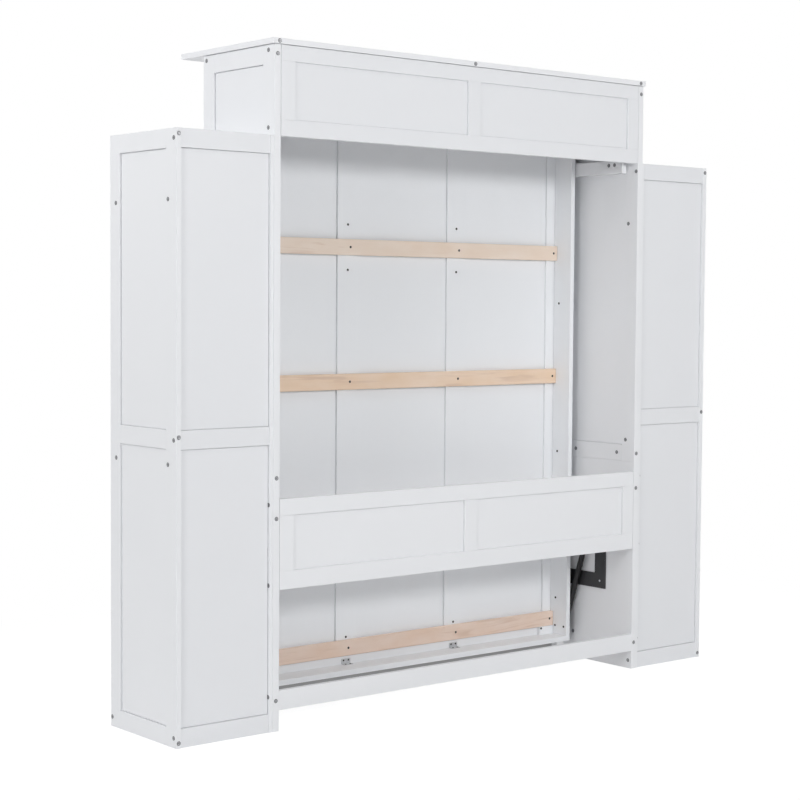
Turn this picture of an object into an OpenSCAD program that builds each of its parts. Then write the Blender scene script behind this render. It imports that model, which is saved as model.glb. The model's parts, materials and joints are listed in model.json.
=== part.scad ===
// Wall bed with a fold-down desk between two shelf towers, stored upright.
// Sizes are millimetres. +Z is up, the front faces -Y and the wall side +Y. The origin is on the floor,
// at the centre of the outer box. "Left" and "right" are as seen from the front.
// Depths are given as d, the distance in front of the plane of the cabinet's rear edges.

/* [Cabinet] */
// Height over the top board
cabinet_h = 2240; // [2230:1:2300]
// Clear width between the two bed side panels
bay_w = 1656; // [1650:1:1680]
// Thickness of the bed side panels
side_t = 25; // [20:1:36]
// Depth of the bed side panels
side_d = 413; // [410:1:440]
// Thickness of the white boards
board_t = 18; // [16:1:20]
// Overhang of the top board at the front
top_front_over = 128; // [110:1:160]
// Overhang of the top board at each side
top_side_over = 7; // [0:1:20]
// Overhang of the top board at the rear
top_rear_over = 4; // [2:1:12]
// Depth of the sunk fields in the cabinet panels
field_recess = 6; // [3:0.5:7]
// Width of the upright frame members of the side panels
side_stile_w = 64; // [50:1:80]
// Height of the level frame members of the side panels
side_rail_h = 62; // [50:1:80]
// Height of the middle frame member's centre on the side panels
side_mid_z = 829; // [780:1:880]
// Width of the shadow gap under the middle frame member
seam_w = 2; // [1:0.5:3]
// Height of the rear header panel
header_h = 292; // [270:1:300]
// Height of the header's level frame members
header_rail_h = 52; // [40:1:70]
// Width of the upright frame members of the rear panels
rear_stile_w = 56; // [40:1:80]
// Height of the rear middle panel above the floor
rear_mid_z = 464; // [440:1:480]
// Height of the rear middle panel
rear_mid_h = 296; // [260:1:310]
// Height of the rear middle panel's top frame member
rear_mid_top_h = 54; // [40:1:70]
// Height of the rear middle panel's bottom frame member
rear_mid_low_h = 60; // [40:1:70]
// Height of the rear bottom rail above the floor
low_rail_z = 69; // [50:1:80]
// Height of the rear bottom rail's own board
low_rail_h = 65; // [50:1:70]
// Height of the front fascia under the top board
fascia_h = 68; // [40:1:70]
// Thickness of the cleats under the header
cleat_t = 30; // [20:1:34]
// Height of the cleats under the header
cleat_h = 50; // [30:1:60]
// How far the cleats lap over the side panels' rear uprights
cleat_lap = 10; // [4:1:20]
// How far the cleats start below the header's lower edge
cleat_drop = 35; // [20:1:80]

/* [Towers] */
// Width of each tower
tower_w = 366; // [300:1:450]
// How far the towers' tops stay under the top board
tower_drop = 290; // [240:1:320]
// Depth of each tower
tower_d = 400; // [380:1:410]
// How far the towers' rear stays in front of the cabinet's rear edges
tower_setback = 2; // [0:1:6]
// Thickness of the towers' inner side, against the bed side panel
tower_inner_t = 12; // [12:1:18]
// Width of the towers' frame members
tower_frame_w = 60; // [50:1:80]
// Height of the middle frame member's centre on the towers
tower_mid_z = 967; // [930:1:1000]
// Height of the bottom board's underside
tower_bottom_z = 23; // [12:1:60]
// Height of the fixed middle shelf's underside
middle_shelf_z = 880; // [840:1:900]
// Distance of the fixed upper shelf's underside from the tower's top
upper_shelf_drop = 227; // [190:1:260]
// How far the shelves' front edges stay behind the tower's front
shelf_setback = 10; // [2:1:30]
// Side play of a loose shelf
shelf_play = 0.5; // [0.2:0.1:1]
// Diameter of the shelf pins
pin_dia = 5; // [4:0.5:7]
// Length of a shelf pin inside the board
pin_in = 9; // [6:1:10]
// Length of a shelf pin under the shelf
pin_out = 8; // [6:1:12]
// Distance of the shelf pins from the shelves' front and rear edges
pin_inset = 30; // [20:1:60]

/* [Bed] */
// Height of the folded bed's lower edge above the floor
bed_z = 70; // [60:1:74]
// Gap between the folded bed's upper edge and the fascia
bed_top_gap = 7; // [6:1:12]
// Gap between the bed's side rails and the side panels, which takes the pivots and struts
mechanism_gap = 38; // [38:1:44]
// Thickness of the bed's rails
rail_t = 20; // [16:1:20]
// Depth of the bed's rails, from the deck towards the wall
rail_d = 90; // [80:1:100]
// Distance of the deck from the cabinet's rear edges
deck_d = 387; // [384:1:390]
// Gap between the bed front and the side panels
front_gap = 6; // [5:0.5:10]
// Width of the outer uprights of the bed front
front_stile_w = 96; // [80:1:110]
// Width of the middle uprights of the bed front
stile_w = 90; // [70:1:110]
// Height of the bed front's top and bottom frame members
front_rail_h = 80; // [60:1:120]
// Depth of the sunk columns in each face of the bed front
column_recess = 6.5; // [4:0.5:7]
// Height of a slat
slat_h = 57; // [45:1:60]
// Thickness of a slat
slat_t = 16; // [12:1:20]
// Height of the lowest slat's centre above the bed's lower edge
slat_first = 81; // [76:1:90]
// Distance of the highest slat's centre from the bed's upper edge
slat_last = 70; // [60:1:90]
// Distance of the rail screws from the slats' rear faces
rail_screw_gap = 12; // [8:1:20]
// Width of a corner bracket at the foot rail
angle_w = 40; // [30:1:60]
// Leg length of a corner bracket
angle_leg = 20; // [16:1:25]
// Thickness of the sheet steel fittings
sheet_t = 2; // [1.5:0.5:2.5]
// Length of the corner blocks between the foot rail and the lowest slat
block_w = 70; // [50:1:90]
// Height of the buffer blocks under the foot rail
buffer_h = 25; // [10:1:28]
// Width of the buffer blocks
buffer_w = 38; // [25:1:60]
// Depth of the buffer blocks
buffer_d = 30; // [20:1:60]
// Distance of the buffer blocks' centres from the side rails' inner faces
buffer_inset = 32; // [30:1:120]
// Which slat the pull handles are level with
handle_slat = 4; // [3,4]
// Distance between a handle's two posts
handle_pitch = 162; // [96:1:200]
// Diameter of a handle's bar
handle_dia = 12; // [10:1:16]
// Distance of a handle's bar centre from the bed front
handle_stand = 30; // [24:1:45]
// How far a handle's bar runs past its posts
handle_over = 14; // [10:1:20]

/* [Pivot] */
// Distance of the bed's pivot behind the deck
pivot_inset = 51; // [50:1:52]
// Height of the bed's pivot
pivot_z = 320; // [318:1:330]
// Diameter of the pivot pins
pivot_dia = 16; // [12:1:18]
// Radial running clearance of pins in their bores
fit_clear = 0.05; // [0.02:0.01:0.1]
// Thickness of the steel plates on the cabinet and on the bed
plate_t = 4; // [3:0.5:5]
// Width of the cabinet plate's two legs
plate_w = 58; // [50:1:64]
// Distance of the cabinet plate's rear edge behind the pivot
plate_reach = 196; // [190:1:210]
// Height of the cabinet plate's top end above the strut's upper eye
plate_over = 25; // [20:1:50]
// Width of the plate on the bed's side rail
bed_plate_w = 60; // [50:1:70]
// How far the bed plate runs above the pivot
bed_plate_up = 200; // [120:1:280]
// Gap between the bed plate's lower end and the foot rail's top
bed_plate_gap = 4; // [2:1:6]
// Diameter of the boss around the pivot pin
boss_dia = 28; // [26:1:36]
// Thickness of the pivot pin's flange
flange_t = 3; // [2:0.5:4]
// Diameter of the pivot pin's flange
flange_dia = 34; // [30:1:44]
// End play between steel parts that turn on each other
end_play = 0.3; // [0.2:0.1:0.5]

/* [Gas strut] */
// Distance of the strut's upper eye behind the pivot
strut_top_back = 178; // [170:1:182]
// Height of the strut's upper eye above the pivot
strut_top_up = 370; // [364:1:375]
// Distance of the strut's lower eye below the pivot
strut_low_down = 196; // [190:1:202]
// Distance of the strut's lower eye in front of the pivot
strut_low_front = 8; // [5:0.5:12]
// Outer diameter of the strut's tube
tube_dia = 22; // [20:1:23]
// Wall of the strut's tube
tube_wall = 2; // [1.5:0.5:3]
// Length of the strut's tube
tube_len = 310; // [300:1:318]
// Length of the guide at the tube's mouth
guide_len = 14; // [10:1:16]
// Thickness of the tube's closed end
tube_end_t = 8; // [6:1:10]
// Diameter of the piston rod
rod_dia = 10; // [8:1:12]
// Length of the piston
piston_len = 10; // [8:1:12]
// Gap between the piston and the guide with the strut extended
piston_gap = 2.4; // [1:0.1:4]
// Outer diameter of the strut's end eyes
eye_dia = 20; // [18:1:24]
// Width of the strut's end eyes
eye_w = 12; // [10:1:14]
// Distance from an eye's centre to the rod's or tube's end
eye_reach = 25; // [22:1:28]
// Diameter of the neck between an eye and its rod or tube
neck_dia = 14; // [13:1:16]
// Diameter of the studs that hold the eyes
stud_dia = 8; // [6:1:10]
// Distance between the strut's tube and the cabinet plate
strut_gap = 6; // [5:0.1:7]

/* [Desk] */
// Distance of the desk board's ends from the bed front's
desk_end_gap = 122; // [100:1:170]
// Depth of the desk board
desk_len = 495; // [450:1:520]
// Thickness of the desk board
desk_t = 18; // [16:1:25]
// Height of the desk's hinge line
desk_z = 742; // [725:1:760]
// Height of the ledger board behind the hinges
ledger_h = 60; // [50:1:80]
// Thickness of the ledger board
ledger_t = 12; // [10:1:18]
// How far the ledger board runs past the desk board at each end
ledger_over = 60; // [20:1:90]
// Length of a desk hinge
hinge_w = 70; // [50:1:90]
// Height of a hinge leaf
leaf_h = 40; // [30:1:50]
// Diameter of a hinge knuckle
knuckle_dia = 9; // [8:0.5:12]
// Diameter of a hinge pin
hinge_pin_dia = 4; // [3:0.5:5]
// Distance of the outer desk hinges from the desk board's ends
hinge_inset = 80; // [60:1:140]
// Side of a magnetic catch
catch_w = 50; // [40:1:60]
// Distance of the magnetic catches' centre from the desk's upper edge
catch_drop = 37; // [26:1:60]

/* [Folding legs] */
// Width of a leg
leg_w = 60; // [40:1:60]
// Thickness of a leg
leg_t = 22; // [18:1:24]
// Distance of the leg pins from the face that carries them
leg_stand = 16; // [15:1:20]
// Distance of the desk's leg pins from the desk's hinge line
desk_leg_reach = 440; // [400:1:440]
// Distance of the desk legs' centres from the desk board's ends
desk_leg_inset = 60; // [40:1:120]
// Distance of the bed's leg pins below the folded bed's upper edge
bed_leg_drop = 137; // [120:1:160]
// Gap between a lowered leg and the floor
foot_gap = 1; // [0.5:0.5:3]
// Diameter of the leg pins
leg_pin_dia = 8; // [6:1:10]
// Height of the bar that joins two legs
bar_h = 50; // [40:1:60]
// Distance of the desk legs' bar from their feet
desk_bar_z = 110; // [60:1:200]
// Distance of the bed legs' bar from their feet
bed_bar_z = 40; // [20:1:80]

/* [Fasteners] */
// Head diameter of the cabinet screws
cabinet_head = 14; // [10:1:16]
// Head diameter of the bed screws
bed_head = 9; // [7:1:12]
// Height of a screw head
head_h = 1.2; // [0.8:0.1:1.5]
// Distance of the screws near a rear edge from that edge
edge_inset = 17; // [12:1:22]
// Distance of the screws that the towers' backs half cover from the cabinet's rear edges
covered_inset = 9; // [8.5:0.1:11]
// Distance between the screws in a cleat
cleat_pitch = 30; // [20:1:60]

/* [Hidden] */
$fn = 48;

white = [0.9, 0.9, 0.91];
wood = [0.86, 0.74, 0.58];
black = [0.08, 0.08, 0.09];
steel = [0.62, 0.63, 0.65];

// Overshoot that lets a cut pass cleanly through a face
cut = 1;

// Cabinet
top_d = top_rear_over + side_d + top_front_over;
rear_y = top_d / 2 - top_rear_over;
carcass_h = cabinet_h - board_t;
side_x = bay_w / 2 + side_t;
side_fields_d = [side_stile_w, side_d - side_stile_w];
side_low_z = [side_rail_h, side_mid_z - side_rail_h / 2];
side_high_z = [side_mid_z + side_rail_h / 2, carcass_h - side_rail_h];
cleat_z = carcass_h - header_h - cleat_drop;

// Towers
tower_h = carcass_h - tower_drop;
upper_shelf_z = tower_h - upper_shelf_drop;
tower_x = [side_x, side_x + tower_w];
tower_in_x = [tower_x[0] + tower_inner_t, tower_x[1] - board_t];
tower_back_d = [tower_setback, tower_setback + board_t];
tower_front_d = tower_setback + tower_d;
shelf_d = [tower_back_d[1], tower_front_d - shelf_setback];
tower_low_z = [tower_frame_w, tower_mid_z - tower_frame_w / 2];
tower_high_z = [tower_mid_z + tower_frame_w / 2, tower_h - tower_frame_w];
pin_d = [shelf_d[0] + pin_inset, shelf_d[1] - pin_inset];
lower_bay_z = [tower_bottom_z + board_t, middle_shelf_z];
middle_bay_z = [middle_shelf_z + board_t, upper_shelf_z];
loose_z = [
    bay_level(lower_bay_z, 1, 2),
    bay_level(middle_bay_z, 1, 3),
    bay_level(middle_bay_z, 2, 3)
];

// Bed
bed_top = carcass_h - fascia_h - bed_top_gap;
bed_len = bed_top - bed_z;
bed_outer = bay_w / 2 - mechanism_gap;
bed_inner_w = 2 * (bed_outer - rail_t);
slat_count = 5;
slat_pitch = (bed_len - slat_first - slat_last) / (slat_count - 1);
front_half = bay_w / 2 - front_gap;
column_w = 2 * (front_half - front_stile_w - stile_w) / 3;
front_d = deck_d + board_t;
rail_rear_d = deck_d - rail_d;
stile_x = (column_w + stile_w) / 2;
foot_top = bed_z + rail_t;
buffer_x = bed_inner_w / 2 - buffer_inset;
handle_z = slat_z(handle_slat);

// Pivot and strut, both in the gap beside the bed
pivot_d = deck_d - pivot_inset;
plate_d = pivot_d - plate_reach;
strut_top_d = pivot_d - strut_top_back;
strut_top_z = pivot_z + strut_top_up;
strut_low_z = pivot_z - strut_low_down;
plate_top_z = strut_top_z + plate_over;
bed_plate_top_z = pivot_z + bed_plate_up;
bed_plate_low_z = foot_top + bed_plate_gap;
plate_face = bay_w / 2 - plate_t;
bed_plate_face = bed_outer + plate_t;
boss_end = plate_face - flange_t - end_play;
strut_x = plate_face - strut_gap - tube_dia / 2;
strut_low_d = pivot_d + strut_low_front;
strut_len = norm([strut_low_d - strut_top_d, strut_top_z - strut_low_z]);
strut_tilt = atan2(strut_low_d - strut_top_d, strut_top_z - strut_low_z);
tube_start = strut_len - eye_reach - tube_len;
rod_end = tube_start + guide_len + piston_gap + piston_len;

// Desk: the hinge line lies half a knuckle in front of the ledger
ledger_front_d = front_d + ledger_t;
desk_axis_d = ledger_front_d + knuckle_dia / 2;
desk_face_d = desk_axis_d + sheet_t / 2;
desk_back_d = desk_face_d + desk_t;
desk_edge_z = desk_z + knuckle_dia / 2 + end_play * 2;
desk_w = 2 * (front_half - desk_end_gap);
ledger_w = desk_w + 2 * ledger_over;
catch_z = desk_edge_z + desk_len - catch_drop;
desk_leg_x = desk_w / 2 - desk_leg_inset;
desk_leg_d = desk_back_d + leg_stand;
desk_leg_z = desk_z + desk_leg_reach;
desk_leg_len = desk_z - (desk_leg_d - desk_axis_d) - foot_gap;
bed_leg_d = front_d + leg_stand;
bed_leg_z = bed_top - bed_leg_drop;
bed_leg_x = front_half - front_stile_w / 2;
bed_leg_len = pivot_z - (bed_leg_d - pivot_d) - foot_gap;
hinge_x = [hinge_inset - desk_w / 2, -stile_x, stile_x, desk_w / 2 - hinge_inset];

// Height of the centre of slat n, counted from the foot
function slat_z(n) = bed_z + slat_first + (n - 1) * slat_pitch;

// Height at which a shelf of the board's thickness splits a bay into equal parts
function bay_level(bay, step, parts) = bay[0] + (bay[1] - bay[0] + board_t) * step / parts - board_t;

// Box between two values of X, of depth d and of Z
module slab(x, d, z)
    translate([x[0], rear_y - d[1], z[0]])
        cube([x[1] - x[0], d[1] - d[0], z[1] - z[0]]);

// Round bar along X through the point at depth d and height z
module bar_x(x, d, z, dia)
    translate([x[0], rear_y - d, z])
        rotate([0, 90, 0])
            cylinder(d = dia, h = x[1] - x[0]);

// Plate standing across X: its outline has Y and Z as its two directions
module plate_x(x, t)
    translate([x, 0, 0])
        rotate([90, 0, 90])
            linear_extrude(t)
                children();

// The children, and their mirror image on the other side
module both() {
    children();
    mirror([1, 0, 0])
        children();
}

// The children on the right, or their mirror image on the left
module on_side(left)
    mirror([left ? 1 : 0, 0, 0])
        children();

// ---- Cabinet ----

module top_board()
    color(white)
        difference() {
            slab([-side_x - top_side_over, side_x + top_side_over],
                 [-top_rear_over, side_d + top_front_over], [carcass_h, cabinet_h]);
            for (x = top_screw_x)
                rear_head(x, head_h - top_rear_over, carcass_h + board_t / 2, cabinet_head + cut, head_h + cut);
        }

module side_panel()
    difference() {
        slab([bay_w / 2, side_x], [0, side_d], [0, carcass_h]);
        for (z = [side_low_z, side_high_z])
            slab([side_x - field_recess, side_x + cut], side_fields_d, z);
        slab([bay_w / 2 - cut, bay_w / 2 + field_recess], side_fields_d, side_high_z);
        slab([bay_w / 2 - cut, bay_w / 2 + seam_w], side_fields_d, [side_low_z[1] - seam_w, side_low_z[1]]);
    }

module left_side_panel() color(white) on_side(true) side_panel();
module right_side_panel() color(white) on_side(false) side_panel();

// Board across the bay with two sunk fields in each face
module rear_panel(z, top_h, low_h)
    difference() {
        slab([-bay_w / 2, bay_w / 2], [0, board_t], z);
        for (d = [[-cut, field_recess], [board_t - field_recess, board_t + cut]])
            both()
                slab([rear_stile_w / 2, bay_w / 2 - rear_stile_w], d, [z[0] + low_h, z[1] - top_h]);
    }

module rear_header() color(white) rear_panel([carcass_h - header_h, carcass_h], header_rail_h, header_rail_h);
module rear_mid_panel()
    color(white) rear_panel([rear_mid_z, rear_mid_z + rear_mid_h], rear_mid_top_h, rear_mid_low_h);
module rear_bottom_rail()
    color(white) slab([-bay_w / 2, bay_w / 2], [0, board_t], [low_rail_z, low_rail_z + low_rail_h]);
module front_fascia()
    color(white) slab([-bay_w / 2, bay_w / 2], [side_d - board_t, side_d], [carcass_h - fascia_h, carcass_h]);

// Cleats that fill the sunk field between the uprights, just under the header
module top_cleats()
    color(white)
        both() {
            slab([bay_w / 2 - cleat_t, bay_w / 2 + field_recess], side_fields_d, [cleat_z, cleat_z + cleat_h]);
            slab([bay_w / 2 - cleat_t, bay_w / 2], [side_fields_d[0] - cleat_lap, side_fields_d[0] + cut],
                 [cleat_z, cleat_z + cleat_h]);
        }

// ---- Towers, drawn on the right ----

module tower_outer_side()
    difference() {
        slab([tower_in_x[1], tower_x[1]], [tower_setback, tower_front_d], [0, tower_h]);
        for (z = [tower_low_z, tower_high_z])
            slab([tower_x[1] - field_recess, tower_x[1] + cut],
                 [tower_setback + tower_frame_w, tower_front_d - tower_frame_w], z);
        pin_holes(tower_in_x[1]);
    }

module tower_inner_side()
    difference() {
        slab([tower_x[0], tower_in_x[0]], [tower_setback, tower_front_d], [0, tower_h]);
        pin_holes(tower_in_x[0]);
    }

// Screws on the inner side, half sunk in notches in the edge of the tower's back
module covered_heads(dia, h = head_h)
    for (z = covered_z)
        bar_x([tower_in_x[0], tower_in_x[0] + h], covered_inset, z, dia);

module tower_back()
    difference() {
        slab(tower_in_x, tower_back_d, [0, tower_h]);
        for (z = [tower_low_z, tower_high_z])
            slab([tower_in_x[0] - cut, tower_in_x[1] + cut],
                 [tower_back_d[0] - cut, tower_back_d[0] + field_recess], z);
        covered_heads(cabinet_head + cut, head_h + fit_clear);
    }

module tower_board(z) slab(tower_in_x, [tower_back_d[1], tower_front_d], [z, z + board_t]);
module tower_shelf(z) slab(tower_in_x, shelf_d, [z, z + board_t]);
module tower_loose_shelves()
    for (z = loose_z)
        slab([tower_in_x[0] + shelf_play, tower_in_x[1] - shelf_play],
             [shelf_d[0] + shelf_play, shelf_d[1]], [z, z + board_t]);

// Pins or their holes at one wall of the right tower, half in the wall and half under the shelves
module shelf_pin_row(x, dia)
    for (z = loose_z)
        for (d = pin_d)
            bar_x(x, d, z - pin_dia / 2, dia);

module pin_holes(wall)
    shelf_pin_row(wall == tower_in_x[0] ? [wall - pin_in, wall + cut] : [wall - cut, wall + pin_in],
                  pin_dia + 2 * fit_clear);

module shelf_pins()
    color(steel)
        both() {
            shelf_pin_row([tower_in_x[0] - pin_in, tower_in_x[0] + pin_out], pin_dia);
            shelf_pin_row([tower_in_x[1] - pin_out, tower_in_x[1] + pin_in], pin_dia);
        }

module left_tower_outer_side() color(white) on_side(true) tower_outer_side();
module right_tower_outer_side() color(white) on_side(false) tower_outer_side();
module left_tower_inner_side() color(white) on_side(true) tower_inner_side();
module right_tower_inner_side() color(white) on_side(false) tower_inner_side();
module left_tower_back() color(white) on_side(true) tower_back();
module right_tower_back() color(white) on_side(false) tower_back();
module left_tower_top() color(white) on_side(true) tower_board(tower_h - board_t);
module right_tower_top() color(white) on_side(false) tower_board(tower_h - board_t);
module left_tower_bottom() color(white) on_side(true) tower_board(tower_bottom_z);
module right_tower_bottom() color(white) on_side(false) tower_board(tower_bottom_z);
module left_tower_middle_shelf() color(white) on_side(true) tower_shelf(middle_shelf_z);
module right_tower_middle_shelf() color(white) on_side(false) tower_shelf(middle_shelf_z);
module left_tower_upper_shelf() color(white) on_side(true) tower_shelf(upper_shelf_z);
module right_tower_upper_shelf() color(white) on_side(false) tower_shelf(upper_shelf_z);
module left_tower_loose_shelves() color(white) on_side(true) tower_loose_shelves();
module right_tower_loose_shelves() color(white) on_side(false) tower_loose_shelves();

// ---- Screw heads ----

// Head of height h on a face that looks towards the wall
module rear_head(x, d, z, dia, h = head_h)
    translate([x, rear_y - d, z])
        rotate([-90, 0, 0])
            cylinder(d = dia, h = h);

// Where the cabinet's screw heads sit, tied to the boards that they hold
top_screw_x = [-side_x + board_t, 0, side_x - board_t];
side_edge_z = [carcass_h - side_rail_h / 2, side_mid_z, rear_mid_z + rear_mid_h - rear_mid_top_h - board_t / 2,
               low_rail_z + low_rail_h / 2];
tower_edge_z = [tower_h - board_t, tower_mid_z + board_t / 2, edge_inset];
covered_z = [rear_mid_z + rear_mid_h - edge_inset, rear_mid_z + edge_inset, low_rail_z + low_rail_h - board_t];
header_screw_z = [carcass_h - board_t, carcass_h - header_h + board_t * 1.5];
tower_face_screws = [
    [edge_inset, tower_h - board_t * 1.7],
    [tower_back_d[1] + board_t * 1.7, upper_shelf_z + board_t / 2],
    [tower_front_d - 2 * board_t, upper_shelf_z + board_t / 2],
    [edge_inset, tower_mid_z],
    [tower_back_d[1] + board_t * 1.7, middle_shelf_z + board_t / 2],
    [tower_front_d - 2 * board_t, middle_shelf_z + board_t / 2],
    [edge_inset, tower_bottom_z + board_t / 2],
    [tower_front_d - board_t / 2, tower_bottom_z + board_t / 2]
];
inner_face_screws = [
    [covered_inset, tower_h - board_t * 1.7],
    [side_stile_w - board_t, upper_shelf_z],
    [side_stile_w - board_t, middle_shelf_z],
    [side_stile_w + board_t * 1.5, side_mid_z],
    [side_d - side_stile_w - 2 * board_t, side_mid_z],
    [side_d - 3 * side_stile_w / 2, low_rail_z + low_rail_h / 2],
    [edge_inset, side_rail_h / 2]
];

module cabinet_screws()
    color(black)
        both() {
            for (z = side_edge_z)
                rear_head(side_x - side_t / 2, 0, z, cabinet_head);
            for (z = tower_edge_z)
                rear_head(tower_x[1] - board_t / 2, tower_setback, z, cabinet_head);
            covered_heads(cabinet_head);
            for (z = header_screw_z)
                bar_x([side_x, side_x + head_h], 2 * edge_inset, z, cabinet_head);
            bar_x([side_x, side_x + head_h], side_d - board_t, header_screw_z[0], cabinet_head);
            for (p = tower_face_screws)
                bar_x([tower_x[1], tower_x[1] + head_h], p[0], p[1], cabinet_head);
            for (p = inner_face_screws)
                bar_x([bay_w / 2 - head_h, bay_w / 2], p[0], p[1], cabinet_head);
            for (i = [1, 2])
                bar_x([bay_w / 2 - cleat_t - head_h, bay_w / 2 - cleat_t],
                      side_stile_w + i * cleat_pitch, cleat_z + cleat_h * 0.65, cabinet_head);
            for (x = top_screw_x)
                if (x >= 0)
                    rear_head(x, head_h - top_rear_over, carcass_h + board_t / 2, cabinet_head);
        }

// ---- Pivot mechanism, drawn on the right, between the side panel and the bed ----

// L-shaped steel plate on the side panel, with the stud that the strut's upper eye turns on
module pivot_plate() {
    plate_x(plate_face, plate_t) {
        translate([rear_y - plate_d - plate_w, pivot_z - plate_w / 2])
            square([plate_w, plate_top_z - pivot_z + plate_w / 2]);
        translate([rear_y - pivot_d, pivot_z - plate_w / 2])
            square([pivot_d - plate_d, plate_w]);
        translate([rear_y - pivot_d, pivot_z])
            circle(d = plate_w);
    }
    bar_x([strut_x + eye_w / 2 + end_play, plate_face], strut_top_d, strut_top_z, neck_dia);
    bar_x([strut_x - eye_w / 2 - end_play, plate_face], strut_top_d, strut_top_z, stud_dia);
    bar_x([strut_x - eye_w / 2 - end_play - sheet_t, strut_x - eye_w / 2 - end_play],
          strut_top_d, strut_top_z, neck_dia);
}

module left_pivot_plate() color(black) on_side(true) pivot_plate();
module right_pivot_plate() color(black) on_side(false) pivot_plate();

// Flanged pin that carries the bed, its flange flat on the cabinet plate
module pivot_pins()
    color(steel)
        both() {
            bar_x([bed_outer + end_play, plate_face], pivot_d, pivot_z, pivot_dia);
            bar_x([plate_face - flange_t, plate_face], pivot_d, pivot_z, flange_dia);
        }

// Where the cabinet plate is screwed to the side panel
plate_mid_d = plate_d + plate_w / 2;
plate_screw_pitch = 80;
plate_points = [
    [plate_mid_d, pivot_z],
    [pivot_d - plate_w * 0.75, pivot_z],
    [plate_mid_d, strut_top_z - plate_w * 0.75],
    [plate_mid_d, strut_top_z - plate_w * 0.75 - plate_screw_pitch],
    [plate_mid_d, strut_top_z - plate_w * 0.75 - 2 * plate_screw_pitch]
];

module plate_screws()
    color(steel)
        both()
            for (p = plate_points)
                bar_x([plate_face - head_h, plate_face], p[0], p[1], cabinet_head);

// Steel bar on the bed's side rail: boss for the pivot pin above, stub for the strut's lower eye below
module bed_plate()
    difference() {
        union() {
            plate_x(bed_outer, plate_t) {
                translate([rear_y - pivot_d - bed_plate_w / 2, bed_plate_low_z])
                    square([bed_plate_w, bed_plate_top_z - bed_plate_low_z - bed_plate_w / 2]);
                translate([rear_y - pivot_d, bed_plate_top_z - bed_plate_w / 2])
                    circle(d = bed_plate_w);
            }
            bar_x([bed_outer, boss_end], pivot_d, pivot_z, boss_dia);
            bar_x([bed_outer, strut_x - eye_w / 2 - end_play], strut_low_d, strut_low_z, 2 * stud_dia);
        }
        bar_x([bed_outer - cut, boss_end + cut], pivot_d, pivot_z, pivot_dia + 2 * fit_clear);
    }

module left_bed_plate() color(black) on_side(true) bed_plate();
module right_bed_plate() color(black) on_side(false) bed_plate();

// Places its children with the strut's upper eye at the origin and the strut running down -Z
module at_strut()
    translate([strut_x, rear_y - strut_top_d, strut_top_z])
        rotate([-strut_tilt, 0, 0])
            children();

// Round length of the strut from s[0] to s[1] below the upper eye
module strut_bar(s, dia)
    translate([0, 0, -s[1]])
        cylinder(d = dia, h = s[1] - s[0]);

// Eye across the strut at s, with its neck running to the side given by dir
module strut_eye(s, dir)
    difference() {
        union() {
            translate([-eye_w / 2, 0, -s])
                rotate([0, 90, 0])
                    cylinder(d = eye_dia, h = eye_w);
            strut_bar(dir > 0 ? [s, s + eye_reach] : [s - eye_reach, s], neck_dia);
        }
        translate([-eye_w, 0, -s])
            rotate([0, 90, 0])
                cylinder(d = stud_dia + 2 * fit_clear, h = 2 * eye_w);
        for (side = [-1, 1])
            translate([side * (eye_w + eye_dia) / 2, 0, -s])
                cube([eye_dia, eye_dia, eye_dia], center = true);
    }

module strut_rod()
    at_strut() {
        strut_eye(0, 1);
        strut_bar([eye_reach, rod_end], rod_dia);
        strut_bar([rod_end - piston_len, rod_end], tube_dia - 2 * tube_wall - 2 * fit_clear);
    }

module strut_tube()
    at_strut() {
        difference() {
            strut_bar([tube_start, tube_start + tube_len], tube_dia);
            strut_bar([tube_start + guide_len, tube_start + tube_len - tube_end_t], tube_dia - 2 * tube_wall);
            strut_bar([tube_start - cut, tube_start + guide_len + cut], rod_dia + 2 * fit_clear);
        }
        strut_eye(strut_len, -1);
    }

module left_strut_rod() color(steel) on_side(true) strut_rod();
module right_strut_rod() color(steel) on_side(false) strut_rod();
module left_strut_tube() color(black) on_side(true) strut_tube();
module right_strut_tube() color(black) on_side(false) strut_tube();

// ---- Bed ----

// Framed panel that carries the mattress on one face and is the cabinet's front on the other
module bed_front()
    color(white)
        difference() {
            slab([-front_half, front_half], [deck_d, front_d], [bed_z, bed_top]);
            for (x = [-column_w - stile_w, 0, column_w + stile_w])
                for (d = [[deck_d - cut, deck_d + column_recess], [front_d - column_recess, front_d + cut]])
                    slab([x - column_w / 2, x + column_w / 2], d, [bed_z + front_rail_h, bed_top - front_rail_h]);
        }

module side_rail() slab([bed_inner_w / 2, bed_outer], [rail_rear_d, deck_d], [foot_top, bed_top - rail_t]);
module left_side_rail() color(white) on_side(true) side_rail();
module right_side_rail() color(white) on_side(false) side_rail();
module end_rail(z) slab([-bed_outer, bed_outer], [rail_rear_d, deck_d], [z, z + rail_t]);
module head_rail() color(white) end_rail(bed_top - rail_t);
module foot_rail() color(white) end_rail(bed_z);

module slat(n)
    color(wood)
        slab([-bed_inner_w / 2, bed_inner_w / 2], [deck_d - slat_t, deck_d],
             [slat_z(n) - slat_h / 2, slat_z(n) + slat_h / 2]);
module slat_1() slat(1);
module slat_2() slat(2);
module slat_3() slat(3);
module slat_4() slat(4);
module slat_5() slat(5);

// Distance of the outer brackets and slat screws from the middle
outer_fix_x = bed_inner_w / 2 - rail_t;

// Steel angles between the deck and the foot rail
module corner_brackets()
    color(steel)
        both() {
            slab([stile_x - angle_w / 2, stile_x + angle_w / 2], [deck_d - sheet_t, deck_d],
                 [foot_top, foot_top + angle_leg]);
            slab([stile_x - angle_w / 2, stile_x + angle_w / 2], [deck_d - angle_leg, deck_d],
                 [foot_top, foot_top + sheet_t]);
        }

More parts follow.
